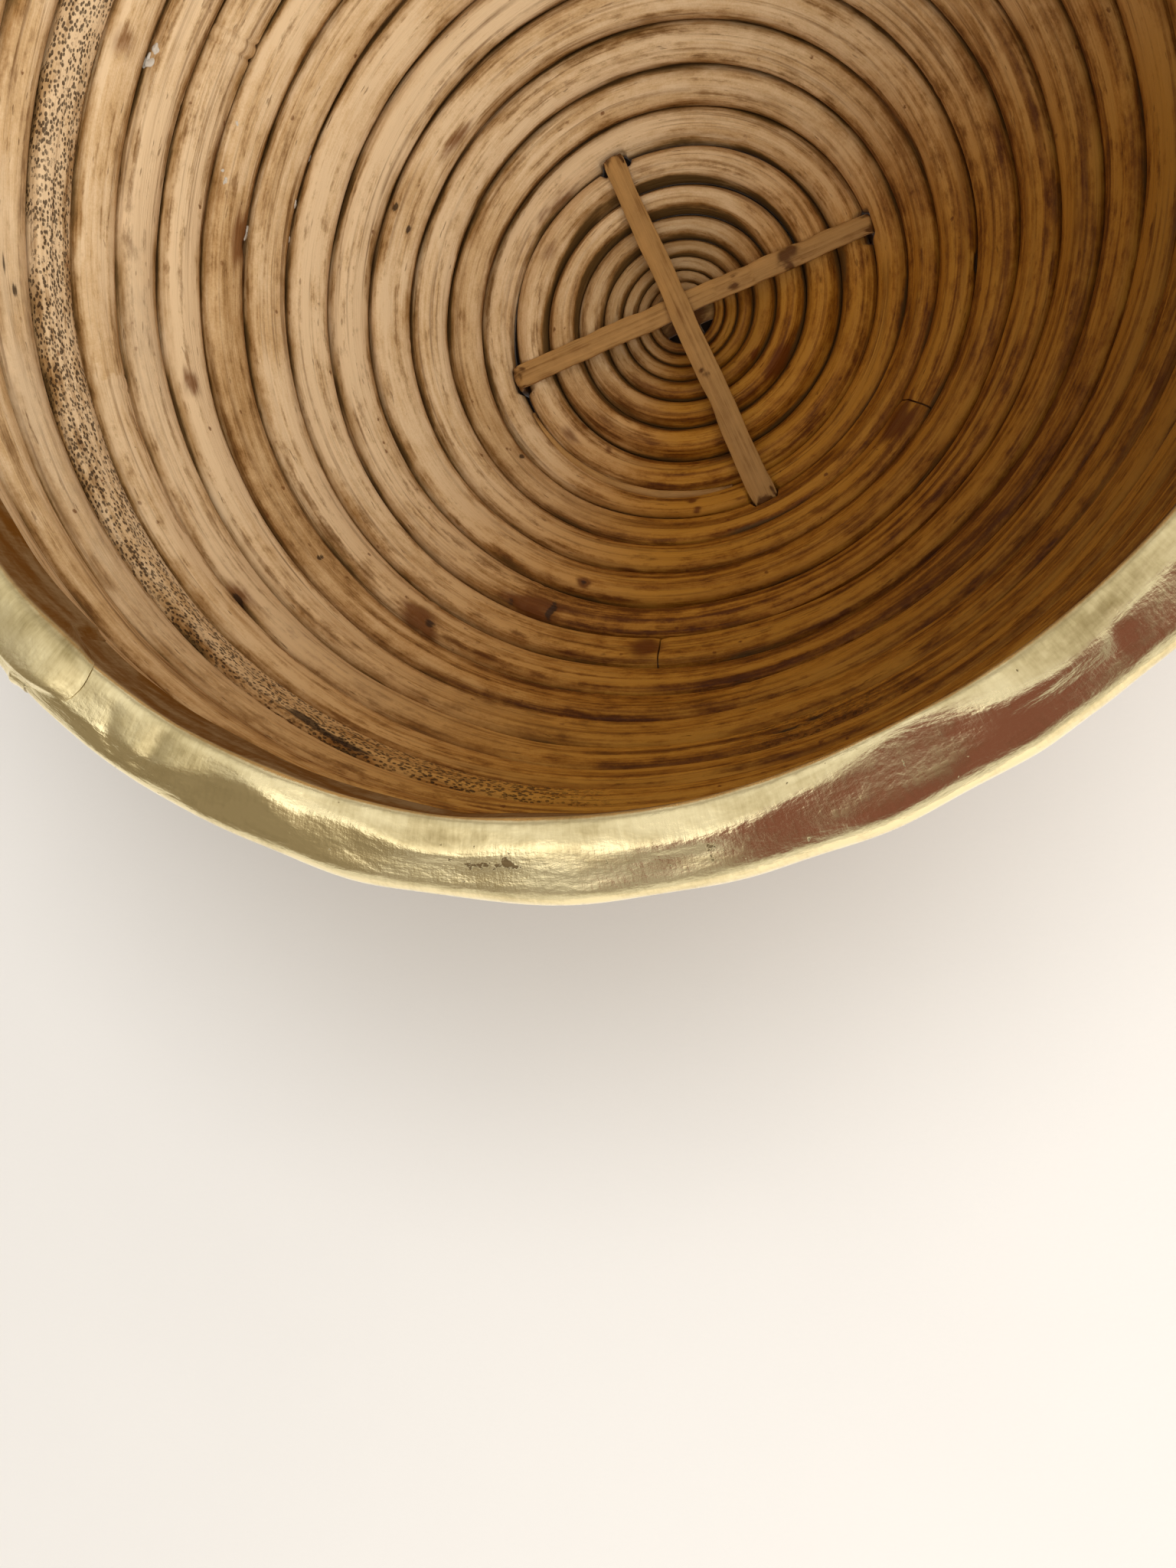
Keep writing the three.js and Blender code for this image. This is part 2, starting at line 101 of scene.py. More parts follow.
# Scars: turn, angle round the pole in degrees, half length, half width and depth in millimetres
SCARS = (
    (16.5542, 29, 1.8, 1.1, 0.9), (14.549, 95, 0.8, 0.8, 0.8), (12.5, 153, 1.0, 0.9, 0.7),
    (10.3792, 45, 1.0, 0.7, 0.5), (10.3875, 99, 1.1, 0.6, 0.5), (8.55, 119, 0.8, 0.7, 0.4),
    (9.9292, 24, 3.2, 0.6, 0.7), (10.6417, 63, 0.9, 0.6, 0.5), (13.5965, 62, 1.7, 0.7, 0.7),
    (11.634, 60, 0.9, 2.6, 0.4), (11.615, 40, 1.2, 0.6, 0.5), (14.418, 150, 1.6, 0.8, 0.7),
    (14.4305, 165, 0.8, 0.8, 0.8), (18.6125, 57, 8.0, 0.5, 0.5), (18.604, 68, 4.0, 0.25, 0.3),
    (18.622, 48, 4.0, 0.25, 0.3), (19.45, 72, 3.0, 0.5, 0.5), (19.456, 88, 2.0, 0.4, 0.4),
    (16.735, 75, 4.0, 0.5, 0.6), (16.741, 95, 2.5, 0.6, 0.7), (16.728, 110, 3.5, 0.3, 0.4),
)

# The stretches of the pole, in turns, whose skin is worn off its pores, and how far
PORE_STRETCHES = ((18.28, 18.7, 1.0), (16.7, 16.79, 0.4))

# Weathered patches: turn, half length in turns
WEATHERED = ((16.46, 0.03), (16.61, 0.06), (15.64, 0.05), (8.62, 0.05), (19.5, 0.08))

# Grooves of the base that stand open: turn of the pole inside it, half length in turns, width in millimetres
OPEN_GROOVES = ((4.2, 0.12, 1.1), (5.2, 0.15, 1.5), (6.2, 0.1, 0.6), (6.47, 0.05, 0.8), (3.2, 0.12, 0.4))

# Drops of glue: turn, angle round the pole in degrees, radius in millimetres
GLUE_DROPS = (
    (16.375, 27, 1.1), (16.371, 38, 0.8), (14.375, 33, 0.6), (14.378, 50, 0.5), (14.3958, 45, 0.6),
    (14.399, 60, 0.5), (13.3958, 150, 0.6), (13.375, 165, 0.5), (13.41, 165, 0.4), (14.4125, 160, 1.0),
)

# Turns inside the grooves that the two ends of each strip tuck through
LOWER_TUCKS = (6, 6)
UPPER_TUCKS = (6, 7)

# Forms of the strips, in millimetres along them: share of the thickness that the crown falls to its edges,
# depth and place of the split along it, knots as (place, aside, size), and steps in height as (place, height)
LOWER_FORM = {
    "crown": 0.45,
    "split": 0.1,
    "split_from": (5, 20),
    "knots": ((26, 0.2, 2.4), (24, -1.2, 1.6), (13, 0.4, 1.6)),
    "steps": ((8.5, -0.3), (17.0, 0.35), (28.0, -0.25), (-21.0, 0.12)),
}
UPPER_FORM = {
    "crown": 0.7,
    "split": 0.45,
    "split_from": (-14, -30),
    "knots": ((-17, 0.2, 1.3),),
    "steps": ((-17.0, 0.15),),
}

# Creases across the rim: azimuth in degrees, lean, depth in millimetres
CREASES = ((-123, 0.35, 0.5), (-127, -0.5, 0.25), (-52, 0.3, 0.25), (75, 0.3, 0.3))

# Pitted patches of the rim: azimuth in degrees, how far inside the ridge, and half length, in millimetres
PITTED = ((-97, -3.0, 4.0), (-94, -2.6, 2.0), (-80, -3.2, 2.0))

# Degrees of azimuth over which the rim's ridge comes to lie further out, from either side
RIDGE_SWINGS = ((256, 230), (165, 190))


def length_prop(name, description, default):
    """A size in metres."""
    return FloatProperty(name=name, description=description, default=default, precision=5, unit="LENGTH")


def angle_prop(name, description, degrees):
    """An angle, given in degrees."""
    return FloatProperty(name=name, description=description, default=math.radians(degrees), subtype="ANGLE")


def number_prop(name, description, default, unit="NONE"):
    """A plain number, such as a share or a count of turns."""
    return FloatProperty(name=name, description=description, default=default, unit=unit)


def count_prop(name, description, default, least):
    """A whole number."""
    return IntProperty(name=name, description=description, default=default, min=least)


def vector_prop(name, description, default, subtype):
    """A place or a direction in the frame."""
    return FloatVectorProperty(name=name, description=description, default=default, subtype=subtype)


def colour_prop(name, description, default):
    """A colour in scene linear values."""
    return FloatVectorProperty(
        name=name, description=description, default=default, min=0.0, max=1.0, subtype="COLOR"
    )


class ProfileSettings(bpy.types.PropertyGroup):
    """The bowl's profile on the pole's centre line: flat disc, bend, flare, then a wall that ends upright."""

    base_level: length_prop("Base level", "Height of the pole's centre line on the flat base", 6.25 * MM)
    base_radius: length_prop("Base radius", "Radius of the flat disc", 39 * MM)
    bend_radius: length_prop("Base bend", "Radius of the bend round the flat disc", 10.3 * MM)
    flare_angle: angle_prop("Flare angle", "Slope of the straight flare", 37)
    flare_length: length_prop("Flare length", "Length of the straight flare", 31.8 * MM)
    wall_radius: length_prop("Wall radius", "Radius of the wall's arc", 111 * MM)


class PoleSettings(bpy.types.PropertyGroup):
    """Sizes and colours of the rattan pole, its winding and its surface."""

    diameter: length_prop("Diameter", "Thickness of the full pole", 8.9 * MM)
    tip_share: number_prop("Tip share", "Share of the thickness left at the last end", 0.2)
    turn_gap: length_prop("Turn gap", "Clearance between the seats of two turns", 0.55 * MM)
    swelling: length_prop("Swelling", "How much the radius fills of the clearance", 0.3 * MM)
    butt_gap: length_prop("Butt gap", "Gap where two lengths of pole meet", 0.35 * MM)
    core_hole: length_prop("Core hole", "Radius of the hole in the middle", 4.8 * MM)
    core_sink: length_prop("Core sink", "How deep the thinnest core is sunk", 1.7 * MM)
    start_azimuth: angle_prop("Start", "Azimuth of the winding's start", 20)
    sides: count_prop("Sides", "Faces round the pole", 32, 8)
    ring_step: length_prop("Ring step", "Distance of the rings along the pole", 1.6 * MM)
    fine_step: length_prop("Fine ring step", "Distance of the rings at a node or a scar", 0.4 * MM)
    unevenness: length_prop("Unevenness", "Swell of the pole's surface", 0.11 * MM)
    facets: length_prop("Facets", "Height of the broad ridges along the pole", 0.12 * MM)
    ribbing: length_prop("Ribbing", "Height of the fine ribs along the pole", 0.035 * MM)
    node_ridge: length_prop("Node ridge", "Height of a strong growth node's ridge", 0.25 * MM)
    node_groove: length_prop("Node groove", "Depth of the grooves beside that ridge", 0.5 * MM)
    flattening: number_prop("Flattening", "Share of the radius worn off inside", 0.08)
    squareness: number_prop("Squareness", "Share of the radius that the shoulders swell", 0.07)
    cream: colour_prop("Cream", "Palest skin", (0.74, 0.55, 0.34))
    straw: colour_prop("Straw", "Pale skin", (0.60, 0.405, 0.21))
    tan: colour_prop("Tan", "Common skin", (0.44, 0.265, 0.112))
    brown: colour_prop("Brown", "Stained skin", (0.165, 0.075, 0.022))
    rust: colour_prop("Rust", "Knots and stains", (0.17, 0.065, 0.018))
    dark: colour_prop("Dark", "Dirt in pits and pores", (0.03, 0.014, 0.006))
    crevice: colour_prop("Crevice", "Dirt deep in the joints", (0.085, 0.045, 0.013))
    honey: colour_prop("Honey", "Tint of the stain along the joints", (0.52, 0.40, 0.24))
    grey: colour_prop("Grey", "Weathered patches", (0.54, 0.41, 0.27))
    olive: colour_prop("Olive", "Dim skin of the core", (0.20, 0.115, 0.035))
    # Amber tints the skin a little outside as old varnish, and inside on the base and near right wall as
    # painted shade
    amber: colour_prop("Amber", "Tint of the old varnish", (0.64, 0.40, 0.083))


class StripSettings(bpy.types.PropertyGroup):
    """Sizes and colours of the split cane strips and of the cane in the groove."""

    width: length_prop("Width", "Width of a strip", 5.0 * MM)
    thickness: length_prop("Thickness", "Thickness of a strip", 1.5 * MM)
    bend: length_prop("Bend", "How softly a strip bends at its tucks", 1.3 * MM)
    taper: length_prop("Taper", "Length in which a strip would taper to nothing", 480 * MM)
    seat_gap: length_prop("Seat gap", "Clearance between a strip and the pole", 0.3 * MM)
    crossing_gap: length_prop("Crossing gap", "Clearance between the crossing strips", 0.45 * MM)
    crossing_reach: length_prop("Crossing reach", "Half length of the hump at the crossing", 20 * MM)
    lower_azimuth: angle_prop("Lower strip", "Direction of the lower strip", 15)
    upper_azimuth: angle_prop("Upper strip", "Direction of the upper strip", 110.3)
    slot_length: length_prop("Slot length", "Length of the gap that a strip tucks through", 5.5 * MM)
    slot_width: length_prop("Slot width", "Width of the gap that a strip tucks through", 2.6 * MM)
    sides: count_prop("Sides", "Faces round a strip", 36, 8)
    rings: count_prop("Rings", "Rings along a strip", 520, 32)
    pale: colour_prop("Pale", "Pale split cane", (0.475, 0.265, 0.092))
    # The knot colour also paints the shade on the strips' lower runs under the middle hole
    deep: colour_prop("Deep", "Streaks in the cane", (0.21, 0.095, 0.026))
    knot: colour_prop("Knot", "Knots and frayed ends", (0.095, 0.036, 0.008))
    groove_diameter: length_prop("Groove cane", "Thickness of the cane in the groove", 1.8 * MM)
    groove_tip: length_prop("Groove cane tip", "Thickness of its ends", 0.9 * MM)
    groove_start: number_prop("Groove start", "Turn where that cane starts", 6.52)
    groove_turns: number_prop("Groove turns", "Turns that it covers", 0.21)


class RimSettings(bpy.types.PropertyGroup):
    """Sizes and colours of the folded brass rim."""

    width: length_prop("Width", "Width of the fold", 12 * MM)
    depth: length_prop("Depth", "Height of the fold", 12.7 * MM)
    sheet: length_prop("Sheet", "Thickness of the brass", 0.6 * MM)
    ridge_shift: length_prop("Ridge shift", "Distance of the ridge inside the middle", -2.1 * MM)
    ridge_wander: length_prop("Ridge wander", "How far the ridge strays to either side", 0.7 * MM)
    ridge_swing: length_prop("Ridge swing", "How far the ridge lies further out on the left", 3.4 * MM)
    ridge_fall: length_prop("Ridge fall", "How far it lies lower there", 0.7 * MM)
    inner_tilt: angle_prop("Inner tilt", "Fall of the crown inside its ridge", 5)
    outer_tilt: angle_prop("Outer tilt", "Fall of the crown outside its ridge", 18)
    inner_radius: length_prop("Inner radius", "Bend at the inner edge", 1.4 * MM)
    outer_radius: length_prop("Outer radius", "Bend at the outer edge", 3 * MM)
    seam: angle_prop("Seam", "Azimuth of the lapped ends", 225)
    lap: length_prop("Lap", "Length that one end lies on the other", 9 * MM)
    steps: count_prop("Steps", "Sections round the rim", 780, 72)
    waviness: length_prop("Waviness", "Slow unevenness of the sheet", 0.2 * MM)
    dents: count_prop("Dents", "Hammer marks on the brass", 460, 0)
    dent_depth: length_prop("Dent depth", "Deepest hammer mark", 0.2 * MM)
    brass: colour_prop("Brass", "Clean brass", (0.87, 0.74, 0.43))
    patina: colour_prop("Patina", "Dulled brass", (0.67, 0.55, 0.29))
    olive: colour_prop("Olive", "Dark patches of patina", (0.38, 0.29, 0.12))
    # The flange colour is a painted reflection of the bowl's brown inside and painted shade, with some
    # tarnish
    flange: colour_prop("Flange", "Brown coat of the inner flange", (0.14, 0.05, 0.004))
    tarnish: colour_prop("Tarnish", "Brown tarnish and pitting", (0.17, 0.10, 0.035))


class StageSettings(bpy.types.PropertyGroup):
    """The camera, the lamps, the table top and the surroundings."""

    camera_place: vector_prop("Camera", "Place of the camera", (0.048, -0.1042, 0.2884), "TRANSLATION")
    camera_right: vector_prop("Camera right", "Picture's right in the frame", (0.963, -0.062, -0.262), "XYZ")
    camera_down: vector_prop("Camera down", "Picture's down in the frame", (-0.060, -0.998, 0.016), "XYZ")
    lens: number_prop("Lens", "Focal length in millimetres", 29.13, "CAMERA")
    lamp_place: vector_prop("Lamp", "Place of the soft lamp", (0.54, -0.79, 0.88), "TRANSLATION")
    lamp_size: length_prop("Lamp size", "Width of the soft lamp", 1.6)
    lamp_power: number_prop("Lamp power", "Power of the soft lamp", 24.5, "POWER")
    fill_place: vector_prop("Fill lamp", "Place of the fill lamp", (0.64, 0.76, 0.78), "TRANSLATION")
    fill_size: length_prop("Fill lamp size", "Width of the fill lamp", 0.9)
    fill_power: number_prop("Fill lamp power", "Power of the fill lamp", 5.5, "POWER")
    lamp_tint: colour_prop("Lamp tint", "Colour of the lamps", (1.0, 0.95, 0.88))
    ambient: colour_prop("Ambient", "Light from all round", (0.29, 0.258, 0.212))
    backdrop: colour_prop("Backdrop", "Plain background", (1.0, 0.995, 0.98))
    floor: colour_prop("Floor", "Pale table top", (0.52, 0.505, 0.485))
    floor_lift: colour_prop("Floor lift", "Paleness of the table top to the camera", (0.345, 0.34, 0.335))
    shade: colour_prop("Shade", "Table top right under the bowl", (0.03, 0.018, 0.01))
    shade_middle: vector_prop(
        "Shade middle", "Middle of the dimmer table top round the bowl", (-0.035, -0.03, 0.0), "TRANSLATION"
    )
    left_dim: colour_prop("Left dimness", "What the metal mirrors on the left", (0.30, 0.25, 0.18))
    left_way: vector_prop("Left way", "Direction of the left dimness", (-0.785, -0.366, 0.5), "XYZ")
    near_dim: colour_prop("Near dimness", "What the metal mirrors on the near side", (0.225, 0.09, 0.072))
    near_way: vector_prop("Near way", "Direction of the near dimness", (0.283, -0.531, 0.799), "XYZ")
    glare_way: vector_prop("Glare way", "Direction of the mirrored glare", (-0.36, -0.30, 0.88), "XYZ")
    table_size: length_prop("Table size", "Width of the table top", 14.0)


class BowlSettings(bpy.types.PropertyGroup):
    """All the settings of the bowl."""

    profile: PointerProperty(type=ProfileSettings, name="Profile", description="The bowl's profile")
    pole: PointerProperty(type=PoleSettings, name="Pole", description="The rattan pole")
    strip: PointerProperty(type=StripSettings, name="Strips", description="The cane strips")
    rim: PointerProperty(type=RimSettings, name="Rim", description="The brass rim")
    stage: PointerProperty(type=StageSettings, name="Stage", description="Camera, lamps and floor")


class Winding:
    """The course of the pole: where each turn lies on the bowl's profile, and how thick it is there."""

    STEPS = 240

    def __init__(self, settings):
        self.pole = settings.pole
        self.profile = settings.profile
        top = self.length_at_height(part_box("upper_wall_pole")[1].z)
        lengths, diameters = [], []
        seat, thickness = self.seat(0, lengths, diameters, top)
        while thickness > self.pole.diameter * self.pole.tip_share:
            lengths.append(seat + thickness / 2)
            diameters.append(thickness)
            seat, thickness = self.seat(len(lengths), lengths, diameters, top)
        self.turns = np.arange(len(lengths)) / self.STEPS
        self.lengths = np.array(lengths)
        self.diameters = np.array(diameters)
        self.run = path_lengths(self.centre(self.turns))

    def grown(self, turns):
        """Share of its full thickness that the pole has grown to at a turn."""
        return np.interp(turns, np.arange(len(CORE_SHARES)), CORE_SHARES)

    def seat(self, step, lengths, diameters, top):
        """Inner edge of the pole along the profile at a step, and its thickness there."""
        pole = self.pole
        turn = step / self.STEPS
        edge = pole.core_hole + turn * (pole.diameter * CORE_SHARES[0] + pole.turn_gap)
        if step >= self.STEPS:
            inner = step - self.STEPS
            edge = lengths[inner] + diameters[inner] / 2 + pole.turn_gap
        return edge, min(pole.diameter * float(self.grown(turn)), top - edge)

    def stretches(self):
        """Lengths of the flat disc, the bend, the flare and the wall's arc, and the angle that each turns."""
        shape = self.profile
        rest = math.pi / 2 - shape.flare_angle
        return (
            (shape.base_radius, 0.0),
            (shape.bend_radius * shape.flare_angle, shape.flare_angle),
            (shape.flare_length, 0.0),
            (shape.wall_radius * rest, rest),
        )

    def profile_at(self, length):
        """Radius, height and slope of the profile at lengths along it from the axis."""
        left = np.array(length, float)
        radius = np.zeros_like(left)
        height = np.full_like(left, self.profile.base_level)
        slope = np.zeros_like(left)
        for run, bend in (*self.stretches(), (math.inf, 0.0)):
            walked = np.minimum(left, run)
            half = bend * walked / run / 2
            chord = walked * np.sinc(half / math.pi)
            radius += chord * np.cos(slope + half)
            height += chord * np.sin(slope + half)
            slope += 2 * half
            left -= walked
        return radius, height, slope

    def length_at_height(self, height):
        """Length along the profile at which its upright part reaches a height."""
        upright = sum(run for run, _ in self.stretches())
        return upright + height - float(self.profile_at(upright)[1])

    def azimuth(self, turns):
        """Azimuth of the pole at a turn."""
        return self.pole.start_azimuth + FULL_TURN * np.asarray(turns, float)

    def diameter(self, turns):
        """Thickness of the pole at a turn."""
        return np.interp(turns, self.turns, self.diameters)

    def length(self, turns):
        """Place of the pole's centre along the profile at a turn."""
        return np.interp(turns, self.turns, self.lengths)

    def centre(self, turns):
        """Points on the pole's centre line, with the thin core sunk below the profile."""
        radius, height, slope = self.profile_at(self.length(turns))
        sink = self.pole.core_sink * (1 - self.grown(turns)) / (1 - CORE_SHARES[0])
        radius = radius + sink * np.sin(slope)
        height = height - sink * np.cos(slope)
        azimuth = self.azimuth(turns)
        return np.stack((radius * np.cos(azimuth), radius * np.sin(azimuth), height), axis=-1)

    def section(self, turns):
        """Unit vectors across the pole: along the profile to the next turn, and to the bowl's inside."""
        _, _, slope = self.profile_at(self.length(turns))
        azimuth = self.azimuth(turns)
        outward = np.stack((np.cos(azimuth), np.sin(azimuth), np.zeros_like(azimuth)), axis=-1)
        upward = np.array((0.0, 0.0, 1.0))
        along = np.cos(slope)[..., None] * outward + np.sin(slope)[..., None] * upward
        inside = -np.sin(slope)[..., None] * outward + np.cos(slope)[..., None] * upward
        return along, inside

    def run_at(self, turns):
        """Distance along the pole at a turn."""
        return np.interp(turns, self.turns, self.run)

    def turns_at(self, run):
        """Turn at a distance along the pole."""
        return np.interp(run, self.run, self.turns)

    def around(self, turns, angle):
        """Unit vectors out of the pole at an angle round it, from the next turn to the bowl's inside."""
        along, inside = self.section(turns)
        return np.cos(angle)[..., None] * along + np.sin(angle)[..., None] * inside

    def surface(self, turns, angle):
        """Points on the pole's plain skin at an angle round it."""
        reach = self.diameter(turns) / 2 + self.pole.swelling
        return self.centre(turns) + reach[..., None] * self.around(turns, angle)


def ripple(rng, count, lobes, waves):
    """A smooth random relief of about unit height, from waves with whole lobes round a pole."""
    terms = []
    for _ in range(count):
        lobe = int(rng.integers(lobes[0], lobes[1] + 1))
        wave = FULL_TURN / rng.uniform(*waves) * rng.choice((-1.0, 1.0))
        terms.append((lobe, wave, rng.uniform(0.0, FULL_TURN)))

    def height(run, angle):
        total = sum(np.cos(lobe * angle + wave * run + phase) for lobe, wave, phase in terms)
        return total * math.sqrt(2 / count)

    return height


def bell(distance, width):
    """A smooth bump of height one."""
    return np.exp(-((distance / width) ** 2))


def smooth_step(low, high, value):
    """A smooth rise from 0 at low to 1 at high."""
    share = np.clip((value - low) / (high - low), 0.0, 1.0)
    return share * share * (3 - 2 * share)


def strongest(layers):
    """The greatest of several layers at each place."""
    return np.maximum.reduce(list(layers))


def round_angles(sides):
    """Angles of the sides of a tube, as a row."""
    return (np.arange(sides) / sides * FULL_TURN)[None, :]


def path_lengths(points):
    """Distance along a row of points at each of them."""
    return np.concatenate(([0.0], np.cumsum(np.linalg.norm(np.diff(points, axis=0), axis=1))))


def spaced(points, places):
    """A flat row of points drawn anew at places along it."""
    lengths = path_lengths(points)
    return np.stack([np.interp(places, lengths, points[:, axis]) for axis in (0, 1)], axis=-1)


def clear_selection():
    """Leaves object mode with nothing selected."""
    if bpy.context.object is not None and bpy.context.object.mode != "OBJECT":
        bpy.ops.object.mode_set(mode="OBJECT")
    bpy.ops.object.select_all(action="DESELECT")


def screwed_tube(name, sides, rings, angle):
    """A tube made by screwing a circle about the upright axis, to be laid on its real course."""
    clear_selection()
    bpy.ops.mesh.primitive_circle_add(
        vertices=sides, radius=10 * MM, location=(100 * MM, 0, 0), rotation=(math.pi / 2, 0, 0)
    )
    tube = bpy.context.object
    tube.name = name
    tube.data.name = name
    bpy.ops.object.transform_apply(location=True, rotation=True, scale=True)
    closed = angle == FULL_TURN
    screw = tube.modifiers.new("Winding", "SCREW")
    screw.angle = angle
    screw.steps = screw.render_steps = rings if closed else rings - 1
    screw.use_smooth_shade = True
    bpy.ops.object.modifier_apply(modifier=screw.name)
    return tube


def lay(tube, points):
    """Sets a tube's rings on their course, closes its ends and turns its faces outwards."""
    tube.data.vertices.foreach_set("co", points.astype(np.float32).ravel())
    tube.data.update()
    bpy.ops.object.mode_set(mode="EDIT")
    bpy.ops.mesh.select_all(action="SELECT")
    bpy.ops.mesh.fill_holes(sides=0)
    bpy.ops.mesh.normals_make_consistent(inside=False)
    bpy.ops.object.mode_set(mode="OBJECT")
    bpy.ops.object.shade_smooth_by_angle(angle=SHARP_ANGLE)


def add_values(tube, name, values):
    """Stores a number, or a vector, for each vertex."""
    kind = "FLOAT_VECTOR" if values.shape[-1:] == (3,) and values.ndim > 2 else "FLOAT"
    attribute = tube.data.attributes.new(name, kind, "POINT")
    field = "vector" if kind == "FLOAT_VECTOR" else "value"
    attribute.data.foreach_set(field, values.astype(np.float32).ravel())


def tube_place(run, radius, angle):
    """Places on a tube as if it were drawn out straight, for the materials' patterns."""
    return np.stack(np.broadcast_arrays(run, radius * np.cos(angle), radius * np.sin(angle)), axis=-1)


def dress(piece, material, slot, *nodes):
    """Gives a piece its material, hides its CAD nodes, and lets it ride on the bowl. The slot is not used."""
    piece.data.materials.clear()
    piece.data.materials.append(material)
    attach(piece, "root")
    if nodes:
        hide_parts(*nodes)


class Graph:
    """Adds nodes to the tree of a material or a world, and links them."""

    def __init__(self, owner):
        self.owner = owner
        owner.use_nodes = True
        self.tree = owner.node_tree

    def set(self, socket, value):
        """Links a node's output to a socket, or sets the socket's value."""
        if isinstance(value, bpy.types.NodeSocket):
            self.tree.links.new(value, socket)
        elif hasattr(socket.default_value, "__len__") and not hasattr(value, "__len__"):
            socket.default_value = [value] * len(socket.default_value)
        elif hasattr(value, "__len__") and len(value) == 3 and len(socket.default_value) == 4:
            socket.default_value = (*value, 1.0)
        else:
            socket.default_value = value

    def add(self, kind, inputs=(), **properties):
        """A new node with its properties and inputs set."""
        node = self.tree.nodes.new("ShaderNode" + kind)
        for key, value in properties.items():
            setattr(node, key, value)
        for key, value in dict(inputs).items():
            self.set(node.inputs[key], value)
        return node

    def attribute(self, name, output="Fac"):
        """A value stored on the mesh."""
        return self.add("Attribute", attribute_name=name).outputs[output]

    def stretch(self, vector, scale):
        """A vector with each part scaled."""
        return self.add("VectorMath", {0: vector, 1: scale}, operation="MULTIPLY").outputs["Vector"]

    def noise(self, vector, scale, detail, roughness):
        """Cloudy noise from 0 to 1."""
        inputs = {"Vector": vector, "Scale": scale, "Detail": detail, "Roughness": roughness}
        return self.add("TexNoise", inputs).outputs["Fac"]

    def drawn(self, place, share, scale, detail, roughness):
        """Cloudy noise drawn out along a piece, whose length counts for a share."""
        return self.noise(self.stretch(place, (share, 1, 1)), scale, detail, roughness)

    def cells(self, place, share, scale):
        """Distance from the middles of cells that are drawn out along a piece."""
        inputs = {"Vector": self.stretch(place, (share, 1, 1)), "Scale": scale, "Randomness": 1.0}
        return self.add("TexVoronoi", inputs).outputs["Distance"]

    def measure(self, operation, a, b=(0.0, 0.0, 0.0)):
        """Length, distance or product of vectors, as a value."""
        return self.add("VectorMath", {0: a, 1: b}, operation=operation).outputs["Value"]

    def math(self, operation, a, b):
        """Sum, product or the like of two values."""
        return self.add("Math", {0: a, 1: b}, operation=operation).outputs["Value"]

    def times(self, a, b):
        """Product of two values."""
        return self.math("MULTIPLY", a, b)

    def less(self, a, b):
        """Difference of two values."""
        return self.math("SUBTRACT", a, b)

    def about(self, value, weight):
        """How far a noise lies from its middle, with a weight."""
        return self.times(self.less(value, 0.5), weight)

    def total(self, first, *others):
        """Sum of values."""
        for other in others:
            first = self.math("ADD", first, other)
        return first

    def rise(self, value, low, high, to_low=0.0, to_high=1.0):
        """A value brought smoothly from one range to another."""
        inputs = {"Value": value, "From Min": low, "From Max": high, "To Min": to_low, "To Max": to_high}
        return self.add("MapRange", inputs, interpolation_type="SMOOTHSTEP").outputs["Result"]

    def mix(self, share, a, b, blend="MIX"):
        """Two colours mixed."""
        node = self.add("Mix", data_type="RGBA", blend_type=blend)
        self.set(node.inputs["Factor"], share)
        for socket in node.inputs:
            if socket.type == "RGBA":
                self.set(socket, a if socket.identifier.startswith("A") else b)
        return next(socket for socket in node.outputs if socket.type == "RGBA")

    def ramp(self, value, *stops):
        """A colour from a row of (place, colour)."""
        node = self.add("ValToRGB", {"Fac": value})
        elements = node.color_ramp.elements
        while len(elements) < len(stops):
            elements.new(1.0)
        for element, (place, colour) in zip(elements, stops):
            element.position = place
            element.color = (*colour, 1.0)
        return node.outputs["Color"]

    def bump(self, height, distance, strength):
        """A bumped normal, with the bump's height in metres."""
        inputs = {"Height": height, "Distance": distance, "Strength": strength}
        return self.add("Bump", inputs).outputs["Normal"]

    def finish(self, **inputs):
        """Sets the shader's inputs by name, with _ for a space."""
        shader = self.tree.nodes["Principled BSDF"]
        for key, value in inputs.items():
            self.set(shader.inputs[key.replace("_", " ")], value)
        return self.owner


